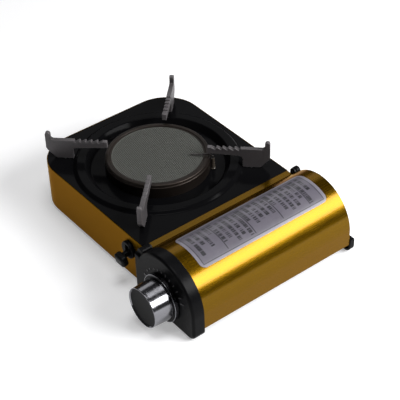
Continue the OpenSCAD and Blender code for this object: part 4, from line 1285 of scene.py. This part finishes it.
@dataclass
class BarrelCover:
    """The rolled gold cover and its label."""

    radius: float = 46.5 * MM
    sheet: float = 1.0 * MM
    edge_round: float = 0.3 * MM
    roll_steps: int = 72
    hem: float = 3 * MM
    hem_sheet: float = 0.8 * MM
    hem_gap: float = 0.02 * MM
    hem_inset: float = 0.3 * MM
    hem_round: float = 0.2 * MM
    notch: float = 7.1 * MM
    notch_depth: float = 3.2 * MM
    label_lift: float = 0.22 * MM
    label_gap: float = 0.03 * MM
    label_angle: float = 84.0
    label_arc: float = 60.0
    label_length: float = 163 * MM
    label_corner: float = 6.5 * MM
    label_strips: int = 40
    film_low: Colour = (0.088, 0.080, 0.100)
    film_high: Colour = (0.108, 0.100, 0.124)
    film_edge: Colour = (0.16, 0.15, 0.18)
    film_rough: Point2 = (0.3, 0.42)
    film_coat: Point2 = (0.3, 0.25)
    film_relief: Point2 = (0.2, 0.05 * MM)
    tint_scale: float = 30.0
    gloss_scale: float = 200.0
    ripple_scale: float = 60.0
    ink: Colour = (0.012, 0.012, 0.015)
    ink_strength: float = 0.92
    field: Point2 = (0.12, 0.045)
    border: Point2 = (0.07, 0.025)
    border_half: Point2 = (0.007, 0.0022)
    print_area: Point2 = (0.06, 0.02)
    rows: float = 23.0
    row_half: float = 0.30
    row_length: Point2 = (0.45, 0.55)
    bar_scale: Point2 = (40.0, 3.7)
    bar_octaves: float = 1.5
    bar_share: float = 0.47
    rule_rows: float = 5.0
    rule_share: float = 0.03

    def outer_line(self, radius: float) -> list[Point2]:
        """Draws the cover's section from the seam over the top to the lower edge.

        Args:
            radius: the barrel's radius at this line.

        Returns:
            Points of x and z.
        """
        x, z = LAYOUT.barrel.x, LAYOUT.barrel.z
        drop = LAYOUT.burner.z - z
        start = degrees(atan2(drop, -sqrt(radius * radius - drop * drop)))
        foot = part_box("cylinder_cover")[0].z
        return [*arc((x, z), radius, start, 0, self.roll_steps), (x + radius, foot)]

    def strip(self, name: str, outer: float, inner: float, front: float,
              back: float) -> bpy.types.Object:
        """Rolls a strip of the cover between two radii.

        Args:
            name: the piece's name.
            outer: the outer radius.
            inner: the inner radius.
            front: the front edge along Y.
            back: the back edge along Y.

        Returns:
            The new piece.
        """
        outline = self.outer_line(outer) + self.outer_line(inner)[::-1]
        return slab(name, outline, front, back - front)

    def shell(self) -> None:
        """Rolls the cover, with hems inside both rims."""
        low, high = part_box("cylinder_cover")
        inner = self.radius - self.sheet
        piece = self.strip("barrel_cover", self.radius, inner, low.y, high.y)
        depth = self.notch_depth
        for y in (low.y + depth, high.y - depth):
            drill(piece, self.notch, (-2 * depth, depth), LAYOUT.on_hinge(y), steps=HOLE_STEPS)
        round_edges(piece, self.edge_round)
        smooth(piece, angle=30)
        inner -= self.hem_gap
        hems = []
        for k, y in enumerate((low.y + self.hem_inset, high.y - self.hem_inset - self.hem)):
            hem = self.strip(f"hem_{k}", inner, inner - self.hem_sheet, y, y + self.hem)
            drill(hem, self.notch, (-3 * self.hem, 3 * self.hem), LAYOUT.on_hinge(y),
                  steps=HOLE_STEPS)
            round_edges(hem, self.hem_round)
            smooth(hem, angle=30)
            hems.append(hem)
        join(piece, *hems)
        fit(piece, GOLD_DEEPER_PAINTED_SHADE.material(), "cylinder_cover")

    def label(self) -> None:
        """Lays the label on the barrel, with round corners."""
        low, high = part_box("cylinder_cover")
        middle = LAYOUT.on_barrel((low.y + high.y) / 2)
        radius = self.radius + self.label_lift
        width = radians(self.label_arc) * radius
        piece = plane("label_film", (0, 0, 0), width, self.label_length)
        edit(piece)
        pick(piece, Part.VERT, lambda v: True)
        bpy.ops.mesh.bevel(offset=self.label_corner, segments=8, affect="VERTICES")
        for k in range(1, self.label_strips):
            place = -width / 2 + width * k / self.label_strips
            bpy.ops.mesh.select_all(action="SELECT")
            bpy.ops.mesh.bisect(plane_co=(place, 0, 0), plane_no=(1, 0, 0))
        done()
        uv = piece.data.uv_layers.active or piece.data.uv_layers.new(name="UVMap")
        for loop in piece.data.loops:
            spot = piece.data.vertices[loop.vertex_index].co
            uv.data[loop.index].uv = (spot.x / width + 0.5, spot.y / self.label_length + 0.5)
        for vertex in piece.data.vertices:
            turn = radians(self.label_angle) - vertex.co.x / radius
            vertex.co = middle + Vector((radius * cos(turn), vertex.co.y, radius * sin(turn)))
        apply_modifier(piece, "SOLIDIFY", thickness=self.label_lift - self.label_gap, offset=-1.0)
        smooth(piece)
        fit(piece, self.label_material(), "cover_label")

    def bars(self, graph: Graph, u: Socket, v: Socket, inside: Socket) -> Socket:
        """Draws rows of plain bars and a few long rules, in place of words.

        Args:
            graph: the label's material.
            u: the place across the label, from 0 to 1.
            v: the place along it, from 0 to 1.
            inside: 1 where there may be bars.

        Returns:
            1 on a bar or a rule.
        """
        along = graph.math("MULTIPLY", v, self.rows)
        row = graph.math("FLOOR", along)
        stripe = graph.near(graph.math("FRACT", along), 0.5, self.row_half)
        spot = graph.node("CombineXYZ", X=graph.math("MULTIPLY", u, self.bar_scale[0]),
                          Y=graph.math("MULTIPLY", row, self.bar_scale[1])).outputs[0]
        dashes = graph.node("TexNoise", Vector=spot, Scale=1.0,
                            Detail=self.bar_octaves).outputs["Fac"]
        seed = graph.node("CombineXYZ", X=row).outputs[0]
        chance = graph.node("TexWhiteNoise", Vector=seed).outputs["Value"]
        shortest, spare = self.row_length
        end = graph.math("ADD", graph.math("MULTIPLY", chance, spare), shortest)
        words = graph.chain("MULTIPLY", stripe, graph.math("GREATER_THAN", dashes, self.bar_share),
                            inside, graph.math("LESS_THAN", u, end))
        block_end = graph.math("FRACT", graph.math("DIVIDE", along, self.rule_rows))
        rules = graph.math("LESS_THAN", block_end, self.rule_share)
        return graph.math("MAXIMUM", words, graph.math("MULTIPLY", rules, inside))

    def label_material(self) -> bpy.types.Material:
        """Prints the label: a thin border and rows of plain grey bars in place of words.

        Returns:
            The label's material.
        """
        graph = Graph("label film")
        graph.set(Coat_Weight=self.film_coat[0], Coat_Roughness=self.film_coat[1])
        layout = graph.node("TexCoord").outputs["UV"]
        across = graph.node("SeparateXYZ", Vector=layout)
        u, v = across.outputs["X"], across.outputs["Y"]

        def within(value: Socket, margin: float) -> Socket:
            """Marks what lies inside a margin on both sides.

            Args:
                value: the place, from 0 to 1.
                margin: the margin's width.

            Returns:
                1 inside the margins and 0 on them.
            """
            return graph.near(value, 0.5, 0.5 - margin)

        def edges(value: Socket, margin: float, half: float) -> Socket:
            """Marks two lines, each a margin away from its side.

            Args:
                value: the place, from 0 to 1.
                margin: the margin's width.
                half: half the lines' width.

            Returns:
                1 on a line and 0 elsewhere.
            """
            return graph.math("MAXIMUM", graph.near(value, margin, half),
                              graph.near(value, 1 - margin, half))

        inside = graph.math("MULTIPLY", within(u, self.field[0]), within(v, self.field[1]))
        (margin_u, margin_v), (half_u, half_v) = self.border, self.border_half
        border_u = graph.math("MULTIPLY", edges(u, margin_u, half_u), within(v, margin_v))
        border_v = graph.math("MULTIPLY", edges(v, margin_v, half_v), within(u, margin_u))
        ink = graph.chain("MAXIMUM", self.bars(graph, u, v, inside), border_u, border_v)
        ink = graph.math("MULTIPLY", ink, self.ink_strength)
        area = graph.math("MULTIPLY", within(u, self.print_area[0]), within(v, self.print_area[1]))
        cloud = graph.spread(graph.noise(self.tint_scale, 2), 0, 1)
        film = graph.blend(area, self.film_edge, graph.blend(cloud, self.film_low, self.film_high))
        gloss = graph.spread(graph.noise(self.gloss_scale, 2), *self.film_rough)
        graph.set(Base_Color=graph.blend(ink, film, self.ink), Roughness=gloss)
        graph.bump(graph.noise(self.ripple_scale, 2), *self.film_relief)
        return graph.material

    def build(self) -> None:
        """Builds the cover and its label."""
        self.shell()
        self.label()


@dataclass
class EndCaps:
    """The black caps at both ends of the barrel."""

    radius: float = 46.5 * MM
    wall: float = 2 * MM
    bottom: float = 1.2 * MM
    corner: float = 8 * MM
    ear: float = 4.5 * MM
    ear_round: float = 0.6 * MM
    ear_steps: int = 20
    arc_steps: int = 64
    corner_steps: int = 8
    front_round: float = 3 * MM
    back_round: float = 0.75 * MM
    sunk: float = 5 * MM
    bumper: float = 18 * MM
    pin: float = 1.52 * MM
    pin_stop: float = 0.3 * MM
    gap: float = 0.3 * MM
    plate_gap: float = 1.6 * MM
    boss: float = 6.3 * MM
    boss_depth: float = 5 * MM
    tab_reach: Point2 = (-34 * MM, 17 * MM)
    tab_top: float = 4 * MM

    def outline(self, grow: float, inset: float) -> list[Point2]:
        """Draws a cap from the front.

        Args:
            grow: how far the cap stands out beyond the barrel.
            inset: how far the line lies inside the cap's edge.

        Returns:
            Points of x and z, anticlockwise from the lower left.
        """
        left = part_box("front_cap")[0].x + inset
        x, z = LAYOUT.barrel.x, LAYOUT.barrel.z
        radius = self.radius + grow - inset
        shoulder = LAYOUT.burner.z - self.plate_gap - inset
        end = degrees(atan2(shoulder - z, -sqrt(radius * radius - (shoulder - z) ** 2)))
        return [*self.lower_edge(left, x + radius, inset),
                *arc((x, z), radius, 0, end, self.arc_steps), (left, shoulder)]

    def lower_edge(self, left: float, right: float, inset: float) -> list[Point2]:
        """Draws the flat bottom of a cap and its round right corner.

        Args:
            left: the left end.
            right: the right edge.
            inset: how far the line lies inside the cap's edge.

        Returns:
            Points of x and z, from the left.
        """
        floor, corner = self.bottom + inset, self.corner - inset
        return [(left, floor), *arc((right - corner, floor + corner), corner, -90, 0,
                                    self.corner_steps)]

    def ear_piece(self, front: float, back: float, foot: float) -> bpy.types.Object:
        """Makes the round ear that carries the cover's hinge pin.

        Args:
            front: its front face along Y.
            back: its back face along Y.
            foot: how far its block reaches below the plate.

        Returns:
            The ear, without its bore.
        """
        x, z = LAYOUT.hinge.x, LAYOUT.hinge.z
        low = LAYOUT.burner.z - foot
        outline = [*arc((x, z), self.ear, 0, 180, self.ear_steps), (x - self.ear, low),
                   (x + self.ear, low)]
        piece = slab("ear", outline, front, back - front)
        round_edges(piece, self.ear_round, segments=3)
        return piece

    def finish(self, piece: bpy.types.Object, rim: float, tab: Point2, node: str) -> None:
        """Bores the ear, adds the tab that holds the base pan, and fits the cap.

        Args:
            piece: the cap.
            rim: the ear's face towards the cover, along Y.
            tab: the tab's front and back along Y.
            node: the node that the cap stands for.
        """
        drill(piece, self.pin, (-self.ear, self.ear - self.pin_stop), LAYOUT.on_hinge(rim))
        left, right = (LAYOUT.barrel.x + reach for reach in self.tab_reach)
        unite(piece, block("tab", (left, tab[0], self.bottom + self.wall / 2),
                           (right, tab[1], self.tab_top)))
        smooth(piece, angle=32)
        fit(piece, BLACK_GLOSS.material(), node)

    def front(self) -> None:
        """Makes the front cap: a rounded face, a hollow back and the hinge's ear."""
        low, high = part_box("front_cap")
        deep = high.y - low.y
        piece = slab("front_cap_shell", self.outline(0, 0), low.y, deep)
        self.round_face(piece, low.y, self.front_round)
        cut(piece, slab("hollow", self.outline(0, self.wall), low.y + self.wall, deep))
        unite(piece, self.ear_piece(low.y + self.front_round, high.y, 3 * self.ear))
        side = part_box("side_shell")
        cut(piece, block("left_gap", (low.x - MM, side[0].y - self.gap, 0), (
            side[1].x + self.wall + self.gap, high.y + MM, LAYOUT.burner.z + 4 * self.ear)))
        drill(piece, self.boss, (-self.boss_depth, self.boss_depth), LAYOUT.on_barrel(low.y),
              steps=HOLE_STEPS)
        self.finish(piece, high.y, (low.y + self.wall / 2, high.y), "front_cap")

    def rear(self) -> None:
        """Makes the rear cap: a disc behind the cover and a hollow bumper under it."""
        low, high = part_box("rear_cap")
        piece = slab("rear_cap_shell", self.outline(-self.sunk, 0), low.y, self.wall)
        cut(piece, block("below", (low.x - MM, low.y - MM, 0),
                         (high.x + MM, high.y + MM, self.bumper - self.wall)))
        bumper = self.bumper_piece("bumper", 0, low.y, high.y)
        self.round_face(bumper, high.y, self.back_round)
        cut(bumper, self.bumper_piece("hollow", self.wall, low.y - MM, high.y - self.wall))
        unite(piece, bumper)
        back = high.y - self.wall / 2
        unite(piece, self.ear_piece(low.y, back, 0.6 * self.ear))
        self.finish(piece, low.y, (low.y, back), "rear_cap")

    def bumper_piece(self, name: str, inset: float, front: float,
                     back: float) -> bpy.types.Object:
        """Makes the bumper's body, or the hollow in it.

        Args:
            name: the piece's name.
            inset: how far it lies inside the bumper's edge.
            front: its front face along Y.
            back: its back face along Y.

        Returns:
            The new piece.
        """
        low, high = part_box("rear_cap")
        left, right, top = low.x + inset, high.x - inset, self.bumper - inset
        outline = [*self.lower_edge(left, right, inset), (right, top), (left, top)]
        return slab(name, outline, front, back - front)

    def round_face(self, piece: bpy.types.Object, face: float, width: float) -> None:
        """Rounds the edge of a cap's face.

        Args:
            piece: the cap.
            face: the face's place along Y.
            width: the width of the rounding.
        """
        edit(piece)
        pick(piece, Part.EDGE, lambda e: len(e.link_faces) == 2 and all(
            abs(v.co.y - face) < NEAR for v in e.verts))
        bpy.ops.mesh.bevel(offset=width, segments=6, affect="EDGES", clamp_overlap=True)
        outward()
        done()

    def build(self) -> None:
        """Builds both caps."""
        self.front()
        self.rear()


@dataclass
class Knob:
    """The chrome knob: foot ring, cup and face."""

    radius: float = 21.7 * MM
    wall: float = 1.4 * MM
    flare: Point2 = (0.98 * MM, 1.2 * MM)
    back_round: Point2 = (0.7 * MM, 0.35 * MM)
    front_round: float = 0.63 * MM
    shoulder: float = 3.08 * MM
    seat: float = 1.568 * MM
    lip_step: float = 1.1 * MM
    groove: Point2 = (2.4 * MM, 2.5 * MM)
    face_gap: float = 1.68 * MM
    face_bevel: Point2 = (0.3 * MM, 0.25 * MM)
    face_rim: Point2 = (1.4 * MM, 1.8 * MM)
    face_dish: Point3 = (0.18 * MM, 0.32 * MM, 0.36 * MM)
    ring: float = 26 * MM
    ring_bevel: float = 0.15 * MM
    ring_round: float = 0.35 * MM

    def turn(self, name: str, node: str, finish: Finish, angle: float,
             draw: Callable[[float, float], list[Point2]], closed: bool = True) -> None:
        """Turns one piece of the knob and fits it.

        Args:
            name: the piece's name.
            node: the node that it stands for.
            finish: its finish.
            angle: the least angle of an edge that stays sharp, in degrees.
            draw: draws its profile from the places of its back and its front.
            closed: whether the profile closes on itself.
        """
        low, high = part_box(node)
        piece = turned(name, draw(-high.y, -low.y), LAYOUT.on_barrel(0), Axis.FORWARD,
                       closed=closed)
        smooth(piece, angle)
        fit(piece, finish.material(), node)

    def cup(self, back: float, front: float) -> list[Point2]:
        """Draws the cup, which flares a little towards its back.

        Args:
            back: the place of its back.
            front: the place of its front.

        Returns:
            Points of radius and height.
        """
        r, inner, seat = self.radius, self.radius - self.wall, self.radius - self.seat
        out, back_r = self.back_round
        front_r = self.front_round
        return [
            (inner, back), *arc((r + out, back + back_r), back_r, -90, 0, 3),
            (r + self.flare[0], back + self.flare[1]), (r, front - self.shoulder),
            *arc((r - front_r, front - front_r), front_r, 0, 100, 6),
            (seat, front - self.lip_step), (seat, front - self.groove[0]),
            (inner, front - self.groove[1])]

    def face(self, back: float, front: float) -> list[Point2]:
        """Draws the face, dished inside its rim.

        Args:
            back: the place of its back.
            front: the place of its front.

        Returns:
            Points of radius and height.
        """
        r = self.radius - self.face_gap
        dish = zip((r - self.face_rim[1], r / 2, r / 20), self.face_dish)
        return [(r, back), (r, front - self.face_bevel[1]), (r - self.face_bevel[0], front),
                (r - self.face_rim[0], front), *((wide, front - deep) for wide, deep in dish)]

    def foot_ring(self, back: float, front: float) -> list[Point2]:
        """Draws the foot ring.

        Args:
            back: the place of its back.
            front: the place of its front.

        Returns:
            Points of radius and height.
        """
        outer, bevel, edge = self.ring, self.ring_bevel, self.ring_round
        inner = outer - self.wall / 2
        return [(inner, back), (outer - bevel, back), (outer, back + bevel),
                *arc((outer - edge, front - edge), edge, 0, 90, 5), (inner, front)]

    def build(self) -> None:
        """Turns the knob's three visible pieces."""
        self.turn("knob_cup", "knob_shell", CHROME_PAINTED_SHADE, 30, self.cup)
        self.turn("knob_disc", "knob_face", FACE_BLACK, 25, self.face, closed=False)
        self.turn("knob_foot_ring", "knob_ring", CHROME_PAINTED_SHADE, 30, self.foot_ring)


@dataclass
class LockLever:
    """The lever that locks the canister, and its round bezel."""

    grip: Point3 = (15 * MM, 8.5 * MM, 12.5 * MM)
    grip_soft: float = 3 * MM
    stem: Point2 = (4.6 * MM, 5.6 * MM)
    stem_round: float = 0.6 * MM
    reach: float = 30.5 * MM
    droop: float = 11.0
    crank: float = 11 * MM
    crank_round: float = 0.5 * MM
    pin: float = 2 * MM
    pin_reach: float = 6.4 * MM
    hub: float = 3.2 * MM
    rod_bevel: float = 0.2 * MM
    rod_tip: float = 0.9
    bore: float = 1.55 * MM
    bore_half: float = 5 * MM
    bezel_round: float = 1.6 * MM
    bezel_shares: Point2 = (0.8, 0.55)
    slot_round: float = 0.25 * MM
    slot_gap: float = 0.6 * MM
    swing: float = 36 * MM

    def bezel(self) -> None:
        """Turns the bezel and cuts the lever's slot through it."""
        low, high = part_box("lever_bezel")
        middle = (low + high) / 2
        front, back = -low.y, -high.y
        wall = -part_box("side_shell")[0].y
        r, edge = (high.x - low.x) / 2, self.bezel_round
        boss, face = (r * share for share in self.bezel_shares)
        profile = [(boss, back), (boss, wall), (r, wall), (r, front - edge),
                   *arc((r - edge, front - edge), edge, 0, 90, 6), (face, front)]
        piece = turned("round_bezel", profile, Vector((middle.x, 0, middle.z)), Axis.FORWARD,
                       BEZEL_STEPS, closed=False)
        half_w = (self.stem[0] + self.slot_gap) / 2
        half_h = (self.stem[1] + self.swing * sin(radians(self.droop)) + self.slot_gap) / 2
        cut(piece, block("slot", (middle.x - half_w, low.y - MM, middle.z - half_h),
                         (middle.x + half_w, high.y + MM, middle.z + half_h)))
        round_edges(piece, self.slot_round)
        smooth(piece, angle=35)
        fit(piece, BLACK_GLOSS.material(), "lever_bezel")

    def across(self, profile: Sequence[Point2], up: float = 0.0) -> bpy.types.Object:
        """Turns a profile about an axis that runs from left to right through the lever.

        Args:
            profile: points of radius and place along the axis, from the left.
            up: how far the axis lies above the pivot.

        Returns:
            The new piece.
        """
        piece = turned("across", profile, Vector(), steps=COARSE, closed=False)
        piece.data.transform(Matrix.Translation((0, 0, up)) @ Matrix.Rotation(pi / 2, 4, "Y"))
        return piece

    def rod(self, radius: float, right: float) -> list[Point2]:
        """Draws a short rod with bevelled ends.

        Args:
            radius: its radius.
            right: its right end.

        Returns:
            Points of radius and place along its axis.
        """
        left, bevel, tip = -self.stem[0] / 2, self.rod_bevel, radius * self.rod_tip
        return [(tip, left), (radius, left + bevel), (radius, right - bevel), (tip, right)]

    def lever(self) -> None:
        """Shapes the lever: rounded grip, stem, hub and crank pin."""
        width, depth, height = self.grip
        half_w, half_h = self.stem[0] / 2, self.stem[1] / 2
        back = depth - self.reach
        grip = block("lever_grip", (-width / 2, -self.reach, -height / 2 - self.grip_soft),
                     (width / 2, back, height / 2 - self.grip_soft))
        round_edges(grip, self.grip_soft, segments=6)
        stem = block("stem", (-half_w, back - MM, -half_h), (half_w, 0, half_h))
        round_edges(stem, self.stem_round, segments=3)
        unite(grip, stem)
        crank = block("crank", (-half_w, -self.pin, 0), (half_w, self.pin, self.crank))
        round_edges(crank, self.crank_round)
        unite(grip, crank)
        unite(grip, self.across(self.rod(self.hub, half_w)))
        unite(grip, self.across(self.rod(self.pin, self.pin_reach), self.crank))
        cut(grip, self.across([(self.bore, -self.bore_half), (self.bore, self.bore_half)]))
        spin(grip, self.droop, "X", pivot_of("lever_lift"))
        smooth(grip)
        fit(grip, BLACK_SATIN.material(), "lock_lever")

    def build(self) -> None:
        """Builds the bezel and the lever."""
        self.bezel()
        self.lever()


@dataclass(frozen=True)
class Softbox:
    """A soft area light that faces the stove."""

    name: str
    towards: Point3
    distance: float
    size: Point2
    watts: float

    def hang(self, target: Vector) -> None:
        """Hangs the light.

        Args:
            target: the place that it faces.
        """
        data = bpy.data.lights.new(self.name, "AREA")
        data.shape = "RECTANGLE"
        data.size, data.size_y = self.size
        data.energy = self.watts
        light = bpy.data.objects.new(self.name, data)
        bpy.context.scene.collection.objects.link(light)
        way = Vector(self.towards).normalized()
        light.location = target + way * self.distance
        light.rotation_mode = "QUATERNION"
        light.rotation_quaternion = way.to_track_quat("Z", "Y")


@dataclass
class Studio:
    """The pale floor, the soft lights and the camera."""

    azimuth: float = 53.15
    elevation: float = 39.0
    roll: float = -2.14
    distance: float = 1309.1 * MM
    target: Point3 = (33.6 * MM, 7.2 * MM, 56 * MM)
    lens: float = 113.93
    sensor: float = 36.0
    clip: Point2 = (0.05, 30.0)
    air: Colour = (0.05, 0.05, 0.052)
    floor_size: float = 12.0
    floor_colour: Colour = (0.80, 0.80, 0.81)
    floor_lift: float = 0.34
    lights: tuple[Softbox, ...] = (
        Softbox("key_box", (0.685, 0.466, 0.575), 1.3, (0.9, 0.6), 25),
        Softbox("top_box", (0.05, 0.0, 1.0), 1.7, (0.8, 0.8), 12),
        Softbox("back_box", (-0.684, 0.466, 0.561), 1.5, (1.0, 0.6), 1.9),
    )

    def camera(self) -> None:
        """Places the camera at the photograph's view."""
        a, e, r = radians(self.azimuth), radians(self.elevation), radians(self.roll)
        back = Vector((sin(a) * cos(e), -cos(a) * cos(e), sin(e)))
        right = Vector((cos(a), sin(a), 0))
        up = back.cross(right)
        tilted_right = right * cos(r) + up * sin(r)
        tilted_up = up * cos(r) - right * sin(r)
        data = bpy.data.cameras.new("camera")
        data.lens = self.lens
        data.sensor_width = self.sensor
        data.clip_start, data.clip_end = self.clip
        camera = bpy.data.objects.new("camera", data)
        bpy.context.scene.collection.objects.link(camera)
        turn = Matrix((tilted_right, tilted_up, back)).transposed().to_4x4()
        place = Vector(self.target) + back * self.distance
        camera.matrix_world = Matrix.Translation(place) @ turn
        bpy.context.scene.camera = camera

    def floor(self) -> None:
        """Lays the plain pale floor."""
        piece = plane("floor", (0, 0, 0), self.floor_size, self.floor_size)
        graph = Graph("pale floor")
        path = graph.node("LightPath").outputs
        seen = graph.chain("MAXIMUM", path["Is Camera Ray"], path["Is Glossy Ray"],
                           path["Is Transmission Ray"])
        graph.set(Roughness=0.9, Specular_IOR_Level=0.0, Base_Color=self.floor_colour,
                  Emission_Color=(1, 1, 1),
                  Emission_Strength=graph.math("MULTIPLY", seen, self.floor_lift))
        paint(piece, graph.material)

    def build(self) -> None:
        """Sets the stage."""
        scene = bpy.context.scene
        scene.view_settings.view_transform = "Standard"
        world = bpy.data.worlds.new("studio air")
        world.use_nodes = True
        background = world.node_tree.nodes["Background"]
        background.inputs["Color"].default_value = (*self.air, 1)
        scene.world = world
        self.floor()
        for light in self.lights:
            light.hang(Vector(self.target))
        self.camera()


def dress_frame() -> None:
    """Gives every carried-over node its finish."""
    for finish, nodes in CAD_FINISHES.items():
        for node in nodes:
            paint(frame["nodes"][node], finish.material())


def main() -> None:
    """Builds the stove's looks and reports each piece."""
    logging.basicConfig(level=logging.INFO, format="%(name)s %(message)s")
    Studio().build()
    dress_frame()
    for part in (BurnerBox(), Burner(), PanSupports(), BarrelCover(), EndCaps(), Knob(),
                 LockLever()):
        part.build()


if __name__ == "__main__":
    main()
